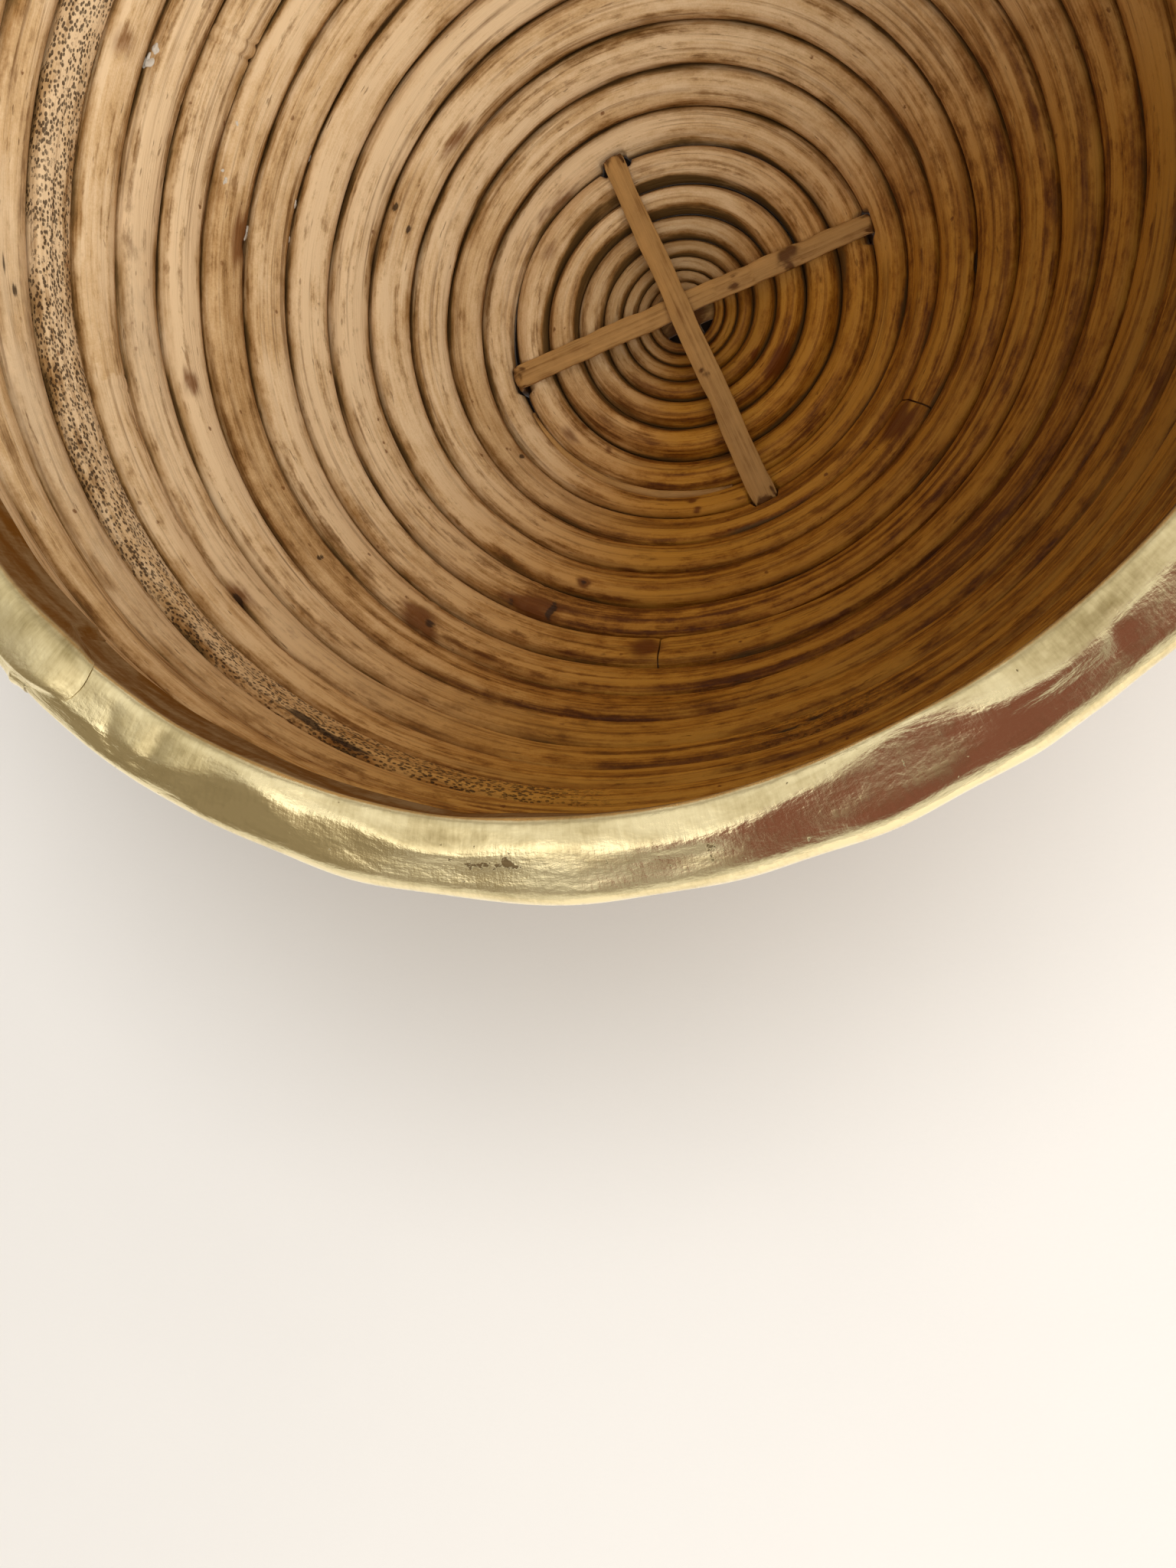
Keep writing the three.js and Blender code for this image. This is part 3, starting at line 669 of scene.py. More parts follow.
class RattanSkin:
    """The nodes of the rattan's skin: its noises, and its colour from the bare skin to the dirt on it."""

    def __init__(self, pole):
        self.pole = pole
        self.graph = graph = Graph(bpy.data.materials.new("rattan"))
        self.place = place = graph.attribute("pole_place", "Vector")
        self.fibres = graph.drawn(place, 0.05, 2100, 3, 0.65)
        self.streaks = graph.drawn(place, 0.022, 620, 4, 0.65)
        self.bands = graph.drawn(place, 0.018, 520, 3, 0.7)
        self.clouds = graph.drawn(place, 0.35, 130, 5, 0.65)
        self.mottle = graph.drawn(place, 0.38, 430, 5, 0.7)
        self.grain = graph.noise(place, 2400, 2, 0.6)
        # The amber tint: old varnish outside, painted shade inside on the base and near right wall
        self.varnish = graph.attribute("varnish")
        self.joint = graph.attribute("joint")
        self.fleck = graph.rise(graph.drawn(place, 0.16, 1250, 2, 0.5), 0.69, 0.76)
        lines = graph.rise(graph.drawn(place, 0.014, 900, 3, 0.6), 0.5, 0.72)
        self.line = graph.times(lines, graph.rise(self.clouds, 0.32, 0.58, 0.05, 0.65))
        pores = graph.total(graph.cells(place, 0.5, 2100), graph.about(self.fibres, 0.35))
        pore = graph.times(graph.rise(pores, 0.5, 0.27), graph.rise(self.mottle, 0.32, 0.5))
        self.pore = graph.times(pore, graph.attribute("pores"))
        self.dirty = self.varied(self.joint, mottle=0.25, streaks=0.3, clouds=0.3)

    def varied(self, value, **weights):
        """A value that the named noises vary, each with its weight."""
        parts = [self.graph.about(getattr(self, noise), weight) for noise, weight in weights.items()]
        return self.graph.total(value, *parts)

    def bare(self):
        """The bare skin: its tone, deeper streaks where the painted shade lies, the dim core, brown lines and
        smears along it, and weathered patches.
        """
        graph, pole = self.graph, self.pole
        # Painted shade: deeper streaks where the amber tint lies inside the bowl
        aged = graph.total(graph.about(self.bands, 2.6), graph.about(self.mottle, 1.3))
        shade = self.varied(
            graph.attribute("tone"), streaks=0.8, fibres=0.3, clouds=0.9, mottle=0.6, grain=0.3
        )
        shade = graph.total(shade, graph.times(self.varnish, aged))
        skin = graph.ramp(
            shade, (0.08, pole.cream), (0.34, pole.straw), (0.6, pole.tan), (0.95, pole.brown)
        )
        skin = graph.mix(graph.times(graph.attribute("core"), 0.45), skin, pole.olive)
        skin = graph.mix(self.line, skin, pole.brown)
        smears = graph.total(graph.about(self.streaks, 1.2), graph.about(self.mottle, 1.1), 0.5)
        skin = graph.mix(graph.rise(smears, 0.54, 0.84, 0.0, 0.6), skin, pole.brown)
        weathered = graph.times(graph.attribute("weather"), graph.rise(self.mottle, 0.3, 0.6, 0.1, 0.5))
        return graph.mix(weathered, skin, pole.grey)

    def stained(self, skin):
        """The skin with stained joints, knots, flecks and specks, and over them brown streaks and an amber
        tint: old varnish outside, painted shade inside on the base and near right wall.
        """
        graph, pole = self.graph, self.pole
        honeyed = self.varied(self.joint, streaks=0.6, mottle=0.5, clouds=0.4)
        skin = graph.mix(graph.rise(honeyed, 0.5, 0.97, 0.0, 0.95), skin, pole.honey, "MULTIPLY")
        stain = graph.attribute("stain")
        stained = graph.times(stain, graph.rise(self.clouds, 0.2, 0.6, 0.55, 1.25))
        stained = graph.total(stained, graph.times(stain, graph.about(self.fibres, 0.9)))
        skin = graph.mix(graph.rise(stained, 0.12, 0.75, 0.0, 0.9), skin, pole.rust)
        skin = graph.mix(graph.times(self.fleck, 0.5), skin, pole.brown)
        specks = graph.total(graph.cells(self.place, 0.7, 300), graph.about(self.grain, 0.2))
        speck = graph.times(graph.rise(specks, 0.14, 0.07), graph.rise(self.clouds, 0.5, 0.6))
        skin = graph.mix(graph.times(speck, 0.85), skin, pole.rust)
        # Painted shade: brown streaks and the amber tint, inside on the base and near right wall
        streaked = graph.times(self.varnish, graph.rise(self.bands, 0.49, 0.70, 0.0, 0.45))
        skin = graph.mix(streaked, skin, pole.brown)
        return graph.mix(self.varnish, skin, pole.amber, "MULTIPLY")

    def dirtied(self, skin):
        """The skin with dirt in its pores, joints and scars."""
        graph, pole = self.graph, self.pole
        skin = graph.mix(graph.times(self.pore, 0.85), skin, pole.dark)
        skin = graph.mix(graph.rise(self.dirty, 0.86, 1.05, 0.0, 0.9), skin, pole.crevice)
        scar = graph.rise(self.varied(graph.attribute("scar"), fibres=0.8), 0.3, 0.6)
        return graph.mix(graph.times(scar, 0.88), skin, pole.dark)

    def material(self):
        """The finished material, bumped by fibres and streaks, pores, flecks and lines."""
        graph = self.graph
        height = graph.total(graph.times(self.fibres, 0.5), graph.times(self.streaks, 0.6))
        height = graph.less(height, graph.times(self.pore, 1.1))
        height = graph.less(height, graph.times(graph.math("MAXIMUM", self.fleck, self.line), 0.4))
        sheen = graph.rise(self.fibres, 0.3, 0.7, 0.40, 0.58)
        return graph.finish(
            Base_Color=self.dirtied(self.stained(self.bare())),
            Roughness=graph.total(sheen, graph.times(self.dirty, 0.12)),
            Specular_IOR_Level=0.22,
            Normal=graph.bump(height, 0.35 * MM, 0.9),
        )


def cane_material(strip):
    """Split cane: straight fibres, brown knots, frayed dark ends, and painted shade on the lower runs under
    the middle hole.
    """
    graph = Graph(bpy.data.materials.new("split_cane"))
    place = graph.attribute("strip_place", "Vector")
    fibres = graph.drawn(place, 0.03, 2600, 3, 0.65)
    streaks = graph.drawn(place, 0.015, 900, 3, 0.55)
    clouds = graph.drawn(place, 0.5, 330, 3, 0.6)
    shade = graph.total(graph.about(streaks, 1.5), graph.about(fibres, 0.8), graph.about(clouds, 0.9), 0.45)
    dim = [0.8 * part for part in strip.pale]
    skin = graph.ramp(shade, (0.1, strip.pale), (0.55, dim), (0.95, strip.deep))
    # Knots, frayed ends, and painted shade on the lower runs under the middle hole
    knot = graph.times(graph.attribute("knot"), graph.rise(clouds, 0.3, 0.62, 0.2, 1.35))
    brown = graph.total(knot, graph.about(fibres, 0.25))
    skin = graph.mix(graph.rise(brown, 0.05, 1.0, 0.0, 0.97), skin, strip.knot)
    height = graph.total(graph.times(fibres, 0.7), graph.times(clouds, 0.25))
    height = graph.less(height, graph.times(brown, 0.4))
    roughness = graph.rise(fibres, 0.3, 0.7, 0.42, 0.6)
    return graph.finish(
        Base_Color=skin, Roughness=roughness, Specular_IOR_Level=0.2,
        Normal=graph.bump(height, 0.28 * MM, 0.9),
    )


def brass_material(rim):
    """Hammered brass: patchy patina, pitting, a rubbed crown, and an inner flange painted brown and matt as a
    painted reflection of the bowl's inside and painted shade, with some tarnish.
    """
    graph = Graph(bpy.data.materials.new("hammered_brass"))
    place = graph.attribute("rim_place", "Vector")
    patches = graph.drawn(place, 0.3, 170, 4, 0.6)
    blots = graph.drawn(place, 0.5, 420, 4, 0.6)
    grain = graph.noise(graph.stretch(place, (1, 0.25, 1)), 1500, 3, 0.6)
    specks = graph.noise(place, 620, 3, 0.6)
    rubbed = graph.attribute("rubbed")
    dull = graph.total(
        graph.about(patches, 1.0), graph.about(blots, 0.45), graph.about(grain, 0.3),
        graph.times(rubbed, -0.12), 0.5,
    )
    metal = graph.ramp(dull, (0.34, rim.brass), (0.58, rim.patina), (0.82, rim.olive))
    # Painted reflection and shade: the inner flange goes brown and matt in place of mirroring the bowl's
    # brown inside, with some tarnish
    brown = graph.times(graph.attribute("flange"), graph.rise(dull, 0.3, 0.65, 0.85, 1.0))
    metal = graph.mix(brown, metal, rim.flange)
    pit = graph.total(specks, graph.times(graph.attribute("pitting"), 0.22))
    pit = graph.rise(pit, 0.71, 0.78)
    metal = graph.mix(graph.times(pit, 0.85), metal, rim.tarnish)
    roughness = graph.total(
        graph.rise(dull, 0.3, 0.75, 0.27, 0.46), graph.times(pit, 0.25),
        graph.times(rubbed, -0.1), graph.times(brown, 0.3),
    )
    height = graph.less(graph.times(grain, 0.1), pit)
    height = graph.total(height, graph.times(blots, 0.55), graph.times(patches, 0.6))
    return graph.finish(
        Base_Color=metal, Metallic=graph.less(1.0, brown), Roughness=roughness, Specular_IOR_Level=0.2,
        Normal=graph.bump(height, 0.3 * MM, 0.9),
    )


def glue_material():
    """Dried clear glue, a little cloudy."""
    graph = Graph(bpy.data.materials.new("dried_glue"))
    place = graph.add("TexCoord").outputs["Object"]
    clouds = graph.noise(place, 1500, 3, 0.6)
    colour = graph.mix(clouds, (0.80, 0.72, 0.58), (0.95, 0.92, 0.86))
    return graph.finish(
        Base_Color=colour, Roughness=graph.rise(clouds, 0.3, 0.7, 0.08, 0.25),
        Transmission_Weight=0.4, IOR=1.45, Normal=graph.bump(clouds, 0.2 * MM, 0.5),
    )


def floor_material(stage):
    """A matt, pale table top with a faint mottle: painted shade under the bowl, a painted shadow round it,
    paler to the camera, and glowing to the metal as painted light.
    """
    graph = Graph(bpy.data.materials.new("table_top"))
    place = graph.add("TexCoord").outputs["Object"]
    clouds = graph.noise(place, 9, 4, 0.6)
    grain = graph.noise(place, 900, 2, 0.5)
    dim = [0.975 * part for part in stage.floor]
    colour = graph.mix(graph.rise(clouds, 0.35, 0.7), stage.floor, dim)
    from_middle = graph.measure("LENGTH", place)
    # Painted shade: the table top is dark right under the bowl
    colour = graph.mix(graph.rise(from_middle, 45 * MM, 60 * MM), stage.shade, colour)
    # Painted shadow: less of the camera's paleness round the bowl, most towards its near left
    from_shade = graph.measure("DISTANCE", place, stage.shade_middle)
    far = graph.rise(from_middle, 0.35, 1.8, 0.0, 1.35)
    lift = graph.total(graph.rise(from_shade, 70 * MM, 200 * MM), far)
    rays = graph.add("LightPath").outputs
    # Painted light: the table top glows to glossy rays, so the metal mirrors it brighter
    lift = graph.total(graph.times(rays["Is Camera Ray"], lift), graph.times(rays["Is Glossy Ray"], 1.5))
    return graph.finish(
        Base_Color=colour, Roughness=0.7, Specular_IOR_Level=0.25, Emission_Color=stage.floor_lift,
        Emission_Strength=lift, Normal=graph.bump(grain, 0.1 * MM, 0.4),
    )


def pole_details(slots):
    """Turns at which the pole needs closer rings, and how far along it."""
    node_reach, spot_share, slot_margin = 3.2 * MM, 1.8, 1.2 * MM
    details = [(turn, node_reach) for turn, strength, _ in SKIN_STEPS if strength > 0]
    details += [(turn, min(spot_share * length, length + 3) * MM) for turn, _, length, _, _ in SCARS]
    details += [(turn, spot_share * length * MM) for turn, _, length, _, _ in STAINS if length < 3.5]
    for turn, half_length, _ in slots:
        details += [(place, half_length + slot_margin) for place in (turn, turn + 1)]
    return details


def pole_rings(winding, start, end, details):
    """Distances along one length of pole for its rings, closer together at its details."""
    pole = winding.pole
    first, last = float(winding.run_at(start)), float(winding.run_at(end))
    rings = np.linspace(first, last, int((last - first) / pole.ring_step) + 1)
    for turn, reach in details:
        here = float(winding.run_at(turn))
        if first < here < last:
            close = np.arange(here - reach, here + reach, pole.fine_step)
            rings = np.concatenate((rings[np.abs(rings - here) > reach], close))
    inner = np.sort(rings[(rings > first + pole.fine_step / 2) & (rings < last - pole.fine_step / 2)])
    inner = inner[np.concatenate(([True], np.diff(inner) > pole.fine_step / 4))]
    return np.concatenate(([first], inner, [last]))


def inward(angle):
    """How far the skin at an angle round the pole looks to the bowl's inside, from 0 to 1."""
    return smooth_step(-0.4, 0.3, np.sin(angle))


class PoleSurface:
    """The relief and the marks of the pole's skin, at places along and round it."""

    # Turns over which the skin goes from round to worn flat, from clean to dirty, into painted shade that
    # makes it browner and amber-tinted, or to dim
    WORN = (6.0, 10.0)
    DIRTY_BASE = (9.5, 6.0)
    BROWN_SHADE_BASE = (9.0, 6.0)
    BROWN_SHADE_WALL = (10.0, 12.0)
    AMBER_SHADE_BASE = (8.5, 6.5)
    DIM_CORE = (5.6, 3.2)

    # Azimuths of the middle of the painted shade on the wall: its browner part, and its amber-tinted part
    BROWN_SHADE_AZIMUTH = math.radians(-68)
    AMBER_SHADE_AZIMUTH = math.radians(-48)

    # A growth node: its slant, the reach of its ridge, and its grooves as (place, reach, share of the depth)
    NODE_SLANT = 0.7 * MM
    NODE_REACH = 1.3 * MM
    NODE_GROOVES = ((1.6 * MM, 0.45 * MM, 1.0), (-1.7 * MM, 0.4 * MM, 0.8))

    # How far the skin draws in at the end of a length of pole, how far from it, and how ragged its tones end
    END_DEPTH = 0.3 * MM
    END_REACH = 0.5 * MM
    RAGGED_EDGE = 1.6 * MM

    def __init__(self, winding, slots):
        rng = np.random.default_rng(POLE_SEED)
        self.winding = winding
        self.slots = slots
        self.uneven = ripple(rng, 18, (1, 3), (35 * MM, 140 * MM))
        self.facets = ripple(rng, 14, (3, 7), (250 * MM, 900 * MM))
        self.ribs = ripple(rng, 26, (8, 16), (80 * MM, 400 * MM))
        self.wander = ripple(rng, 14, (1, 4), (18 * MM, 60 * MM))
        self.drift = ripple(rng, 10, (0, 0), (90 * MM, 400 * MM))
        self.ragged = ripple(rng, 20, (5, 15), (40 * MM, 200 * MM))
        self.tilts = rng.uniform(0.0, FULL_TURN, len(SKIN_STEPS))

    def relief(self, run, angle, radius):
        """How far the skin lies off the plain round pole. It fades out where two turns touch."""
        pole = self.winding.pole
        height = pole.unevenness * self.uneven(run, angle) + pole.facets * self.facets(run, angle)
        height = height + pole.ribbing * self.ribs(run, angle)
        for (turn, strength, _), tilt in zip(SKIN_STEPS, self.tilts):
            if strength > 0:
                off = run - self.winding.run_at(turn) + self.NODE_SLANT * np.cos(angle + tilt)
                ridge = pole.node_ridge * bell(off, self.NODE_REACH)
                grooves = sum(share * bell(off - place, reach) for place, reach, share in self.NODE_GROOVES)
                height = height + strength * (ridge - pole.node_groove * grooves)
        height = height * radius / (pole.diameter / 2)
        worn = smooth_step(*self.WORN, self.winding.turns_at(run))
        flat = smooth_step(0.55, 1.0, np.sin(angle))
        height = height - pole.flattening * radius * (0.2 + 0.8 * worn) * flat
        shoulders = np.sin(2 * angle) ** 2 * (np.sin(angle) > 0)
        height = height + pole.squareness * radius * worn * shoulders
        return height * smooth_step(0.97, 0.8, np.abs(np.cos(angle)))

    def slack(self, run, turns, angle):
        """How far the skin draws back where a groove stands open or a strip tucks through."""
        upper = smooth_step(-0.3, 0.2, np.sin(angle))
        layers = []
        for further, towards in ((0, np.cos(angle)), (1, -np.cos(angle))):
            side = smooth_step(0.1, 0.85, towards)
            for turn, reach, width in OPEN_GROOVES:
                layers.append(width * MM / 2 * bell(turns - turn - further, reach) * side * upper)
            for turn, half_length, width in self.slots:
                off = np.abs(run - self.winding.run_at(turn + further))
                layers.append(width / 2 * smooth_step(half_length + MM, half_length, off) * side)
        return strongest(layers)

    def end_wear(self, run):
        """How far the skin draws in at the ends of a length of pole."""
        from_end = np.minimum(run - run[0], run[-1] - run)
        return self.END_DEPTH * bell(from_end, self.END_REACH)

    def spot(self, run, angle, radius, turn, degrees, half_length, half_width):
        """A smooth spot on the skin, with a ragged edge."""
        off = run - self.winding.run_at(turn) + 0.22 * half_length * MM * self.ragged(run * 3, angle)
        aside = radius * (np.mod(angle - math.radians(degrees) + math.pi, FULL_TURN) - math.pi)
        return bell(off, half_length * MM) * bell(aside, half_width * MM)

    def tone(self, run, turns, angle):
        """How brown the skin is: ragged steps at the growth nodes, and painted shade that makes it browner on
        the base and inside the near wall.
        """
        starts = np.array([float(self.winding.run_at(turn)) for turn, _, _ in SKIN_STEPS])
        tones = np.array([tone for _, _, tone in SKIN_STEPS])
        edge = run + self.RAGGED_EDGE * self.ragged(run, angle)
        step = np.clip(np.searchsorted(starts, edge) - 1, 0, len(tones) - 1)
        # Painted shade: the inside of the near right wall and the base are made browner, as they lie in shade
        facing = np.cos(self.winding.azimuth(turns) - self.BROWN_SHADE_AZIMUTH)
        near = smooth_step(0.6, 0.95, facing) * smooth_step(*self.BROWN_SHADE_WALL, turns)
        browner = 0.03 * smooth_step(*self.BROWN_SHADE_BASE, turns) + 0.13 * near * inward(angle)
        return 0.25 + 1.4 * tones[step] + 0.07 * self.drift(run, angle) + browner

    def varnish(self, turns, angle):
        """Where an amber tint darkens the skin: a little outside as old varnish, and inside on the base and
        near right wall as painted shade.
        """
        # Painted shade inside, centred on the near right wall and spreading onto the base
        facing = np.cos(self.winding.azimuth(turns) - self.AMBER_SHADE_AZIMUTH)
        wall = smooth_step(-0.35, 0.75, facing)
        base = (0.1 + 0.7 * smooth_step(-0.6, 0.6, facing)) * smooth_step(*self.AMBER_SHADE_BASE, turns)
        return np.maximum(wall, base) * inward(angle) + 0.3 * (1 - inward(angle))

    def stain(self, run, angle, radius):
        """Knots and stains."""
        return strongest(strength * self.spot(run, angle, radius, *place) for *place, strength in STAINS)

    def joint(self, run, turns, angle):
        """How close the skin is to the joint with the next turn or the turn before, dirtier on the base."""
        base = 0.09 * smooth_step(*self.DIRTY_BASE, turns)
        return np.abs(np.cos(angle)) + 0.075 * self.wander(run, angle) + base

    def scars(self, run, angle, radius):
        """Depth and darkness of the pits and cracks."""
        spots = [(deep * MM, self.spot(run, angle, radius, *place)) for *place, deep in SCARS]
        return strongest(deep * spot for deep, spot in spots), strongest(spot for _, spot in spots)

    def pores(self, run, turns, angle):
        """Where the skin is worn off the pores."""
        bare = smooth_step(-0.1, 0.5, np.sin(angle) + 0.3 * self.wander(run, angle))
        return strongest(
            strength * smooth_step(low, low + 0.04, turns) * smooth_step(high, high - 0.04, turns) * bare
            for low, high, strength in PORE_STRETCHES
        )

    def weather(self, run, turns, angle):
        """Where the skin has gone grey."""
        patches = strongest(bell(turns - turn, reach) for turn, reach in WEATHERED)
        return patches * smooth_step(-0.4, 0.7, np.sin(angle) + 0.5 * self.wander(run, angle))

    def core(self, turns):
        """Where the skin is dim, on the thin core."""
        return smooth_step(*self.DIM_CORE, turns)


def wind_pole_length(winding, surface, details, node, start, end, material):
    """One length of pole on its part of the winding."""
    pole = winding.pole
    run = pole_rings(winding, start, end, details)[:, None]
    angle = round_angles(pole.sides)
    turns = winding.turns_at(run)
    radius = winding.diameter(turns) / 2 + pole.swelling
    depth, mark = surface.scars(run, angle, radius)
    relief = surface.relief(run, angle, radius) - depth - surface.slack(run, turns, angle)
    relief = relief - surface.end_wear(run)
    points = winding.centre(turns) + (radius + relief)[..., None] * winding.around(turns, angle)
    tube = screwed_tube(node + "_skin", pole.sides, len(run), FULL_TURN * (end - start))
    lay(tube, points)
    marks = {
        "tone": surface.tone(run, turns, angle),
        "stain": surface.stain(run, angle, radius),
        "joint": surface.joint(run, turns, angle),
        "scar": mark,
        "pores": surface.pores(run, turns, angle),
        "weather": surface.weather(run, turns, angle),
        "core": surface.core(turns),
        "varnish": surface.varnish(turns, angle),
    }
    add_values(tube, "pole_place", tube_place(run, radius, angle))
    for name, values in marks.items():
        add_values(tube, name, np.broadcast_to(values, points.shape[:2]))
    dress(tube, material, "rattan", node)


class RATTAN_OT_wind_poles(bpy.types.Operator):
    """Winds the lengths of rattan pole"""

    bl_idname = "rattan.wind_poles"
    bl_label = "Wind Poles"

    def execute(self, context):
        settings = context.scene.rattan_bowl
        winding = Winding(settings)
        slots = strip_slots(winding, settings.strip)
        surface = PoleSurface(winding, slots)
        details = pole_details(slots)
        material = RattanSkin(settings.pole).material()
        half_gap = settings.pole.butt_gap / 2
        cuts = [winding.run_at(turn) for turn in SPLICE_TURNS]
        starts = [0.0] + [float(winding.turns_at(cut + half_gap)) for cut in cuts]
        ends = [float(winding.turns_at(cut - half_gap)) for cut in cuts]
        ends.append(float(winding.turns[-1]))
        for node, start, end in zip(POLE_NODES, starts, ends):
            wind_pole_length(winding, surface, details, node, start, end, material)
        return {"FINISHED"}


def tuck_turn(winding, azimuth, turns):
    """The turn inside the groove that a strip of this azimuth tucks through, a number of turns out."""
    return turns + np.mod(azimuth - winding.pole.start_azimuth, FULL_TURN) / FULL_TURN


def strip_slots(winding, strip):
    """The gaps that the strips' ends tuck through: turn inside it, half length and width."""
    ends = []
    strips = ((strip.lower_azimuth, LOWER_TUCKS), (strip.upper_azimuth, UPPER_TUCKS))
    for azimuth, (front, back) in strips:
        ends += [tuck_turn(winding, azimuth, front), tuck_turn(winding, azimuth + math.pi, back)]
    return [(float(turn), strip.slot_length / 2, strip.slot_width) for turn in ends]


class StripCourse:
    """The closed course of a strip round the base, in the upright plane of its direction."""

    DRAFT_POINTS = 200

    def __init__(self, winding, strip, azimuth, front_turns, back_turns):
        self.strip = strip
        self.azimuth = azimuth
        self.front = self.tuck(winding, azimuth, front_turns)
        self.back = self.tuck(winding, azimuth + math.pi, back_turns)
        self.over_hump = 0.0
        self.under_hump = 0.0

    def tuck(self, winding, azimuth, turns):
        """Radius of the groove that an end tucks through, and top and underside of the pole inside it."""
        turn = tuck_turn(winding, azimuth, turns)
        half = winding.diameter(turn) / 2
        inner = winding.centre(turn) + half * winding.section(turn)[0]
        outer = winding.centre(turn + 1) - winding.diameter(turn + 1) / 2 * winding.section(turn + 1)[0]
        groove = (inner + outer) / 2
        height = winding.centre(turn)[2]
        return math.hypot(groove[0], groove[1]), float(height + half), float(height - half)

    def hump(self, along):
        """Share of the hump at the crossing."""
        reach = np.minimum(np.abs(along) / self.strip.crossing_reach, 1.0)
        return (1 + np.cos(math.pi * reach)) / 2

    def over(self, along):
        """Height of the upper run's lower face."""
        share = (along + self.back[0]) / (self.front[0] + self.back[0])
        straight = self.back[1] + (self.front[1] - self.back[1]) * share + self.strip.seat_gap
        return straight + self.over_hump * self.hump(along)

    def under(self, along, pole_diameter):
        """Height of the lower run's upper face."""
        tuck = np.where(along > 0, self.front[0], self.back[0])
        underside = np.where(along > 0, self.front[2], self.back[2]) - self.strip.seat_gap
        rise = np.maximum(underside - self.strip.thickness, 0.0)
        reach = np.clip((np.abs(along) - tuck) / pole_diameter + 1, 0.0, 1.0)
        return self.strip.thickness + rise * reach + self.under_hump * self.hump(along)

    def points(self, count, pole_diameter):
        """Evenly spaced points on the middle of the strip, with soft bends, as (along, height)."""
        half = self.strip.thickness / 2
        along = np.linspace(-self.back[0], self.front[0], self.DRAFT_POINTS)
        lower = np.stack((along, self.under(along, pole_diameter) - half), axis=-1)
        upper = np.stack((along, self.over(along) + half), axis=-1)[::-1]
        loop = np.concatenate((lower, upper, lower[:1]))
        around = path_lengths(loop)[-1]
        even = np.linspace(0.0, around, count, endpoint=False)
        course = spaced(loop, even)
        waves = np.fft.fftfreq(count, around / count)
        soft = np.exp(-2 * (math.pi * waves * self.strip.bend) ** 2)[:, None]
        return np.real(np.fft.ifft(np.fft.fft(course, axis=0) * soft, axis=0)), even

    def placed(self, points, sideways, upright):
        """Places in the frame of a strip's skin, from its distances aside and out of the course's points."""
        tangent = np.roll(points, -1, axis=0) - np.roll(points, 1, axis=0)
        tangent /= np.linalg.norm(tangent, axis=1)[:, None]
        normal = np.stack((tangent[:, 1], -tangent[:, 0]), axis=-1)
        plane = points[:, None, :] + upright[..., None] * normal[:, None, :]
        level = np.array((math.cos(self.azimuth), math.sin(self.azimuth), 0.0))
        aside = np.array((-level[1], level[0], 0.0))
        place = plane[..., :1] * level + sideways[..., None] * aside
        place[..., 2] += plane[..., 1]
        return place


def squared(value, power):
    """A sine or cosine with its curve drawn out, for a section between an ellipse and a box."""
    return np.sign(value) * np.abs(value) ** power


def strip_knots(form, rng, along, sideways):
    """How dark the knots of a strip are. Each is a few overlapping blots."""
    blots = 5
    layers = [np.zeros_like(sideways)]
    for place, aside, size in form["knots"]:
        for _ in range(blots):
            middle = (rng.normal(0.0, 0.55 * size, 2) + (place, aside)) * MM
            reach = rng.uniform(0.35, 0.8, 2) * size * MM
            layers.append(bell(along - middle[0], reach[0]) * bell(sideways - middle[1], reach[1]))
    return strongest(layers)


def lay_strip(course, node, form, material, pole_diameter, seed):
    """One strip, crowned on its skin side and split along it, with knots, steps, frayed ends, and painted
    shade on its lower run under the middle hole.
    """
    strip = course.strip
    rng = np.random.default_rng(seed)
    wander = ripple(rng, 12, (0, 0), (12 * MM, 60 * MM))
    edges = ripple(rng, 16, (1, 2), (6 * MM, 40 * MM))
    fray = ripple(rng, 18, (4, 9), (3 * MM, 9 * MM))
    points, run = course.points(strip.rings, pole_diameter)
    run = run[:, None]
    along, height = points[:, :1], points[:, 1:]
    angle = round_angles(strip.sides)
    across = squared(np.cos(angle), power=0.45)
    above = squared(np.sin(angle), power=0.62)
    skin = smooth_step(0.0, 0.3, above)
    upper = smooth_step(strip.thickness * 2.5, strip.thickness * 3.5, height)
    split = form["split"] * smooth_step(*[place * MM for place in form["split_from"]], along)
    crown = 1 - form["crown"] * across**2 * skin - split * bell(across - 0.12, 0.2) * skin
    half_width = strip.width / 2 * (0.99 - along / strip.taper + 0.035 * edges(run, angle))
    sideways = across * half_width + 0.06 * MM * wander(run, angle)
    knot = strip_knots(form, rng, along, sideways) * upper
    edge = 0.6 * MM
    step = sum(rise * smooth_step(-edge, edge, along - place * MM) for place, rise in form["steps"])
    upright = strip.thickness / 2 * above * crown + (0.2 * knot + step * upper) * MM * skin
    ends = np.minimum(np.abs(along - course.front[0]), np.abs(along + course.back[0])) / MM
    frayed = smooth_step(2.6, 0.4, ends + 0.8 * fray(run, angle))
    upright = upright + 0.12 * MM * frayed * fray(run, angle) * skin
    tube = screwed_tube(node + "_skin", strip.sides, strip.rings, FULL_TURN)
    lay(tube, course.placed(points, sideways, upright))
    add_values(tube, "strip_place", np.stack(np.broadcast_arrays(run, sideways, upright), axis=-1))
    # Painted shade: the lower run is darkened where it shows through the hole in the middle of the base
    painted_shade_under_hole = (1 - upper) * bell(along, 6 * MM)
    add_values(tube, "knot", np.maximum(np.maximum(frayed, knot), painted_shade_under_hole))
    dress(tube, material, "cane", node)


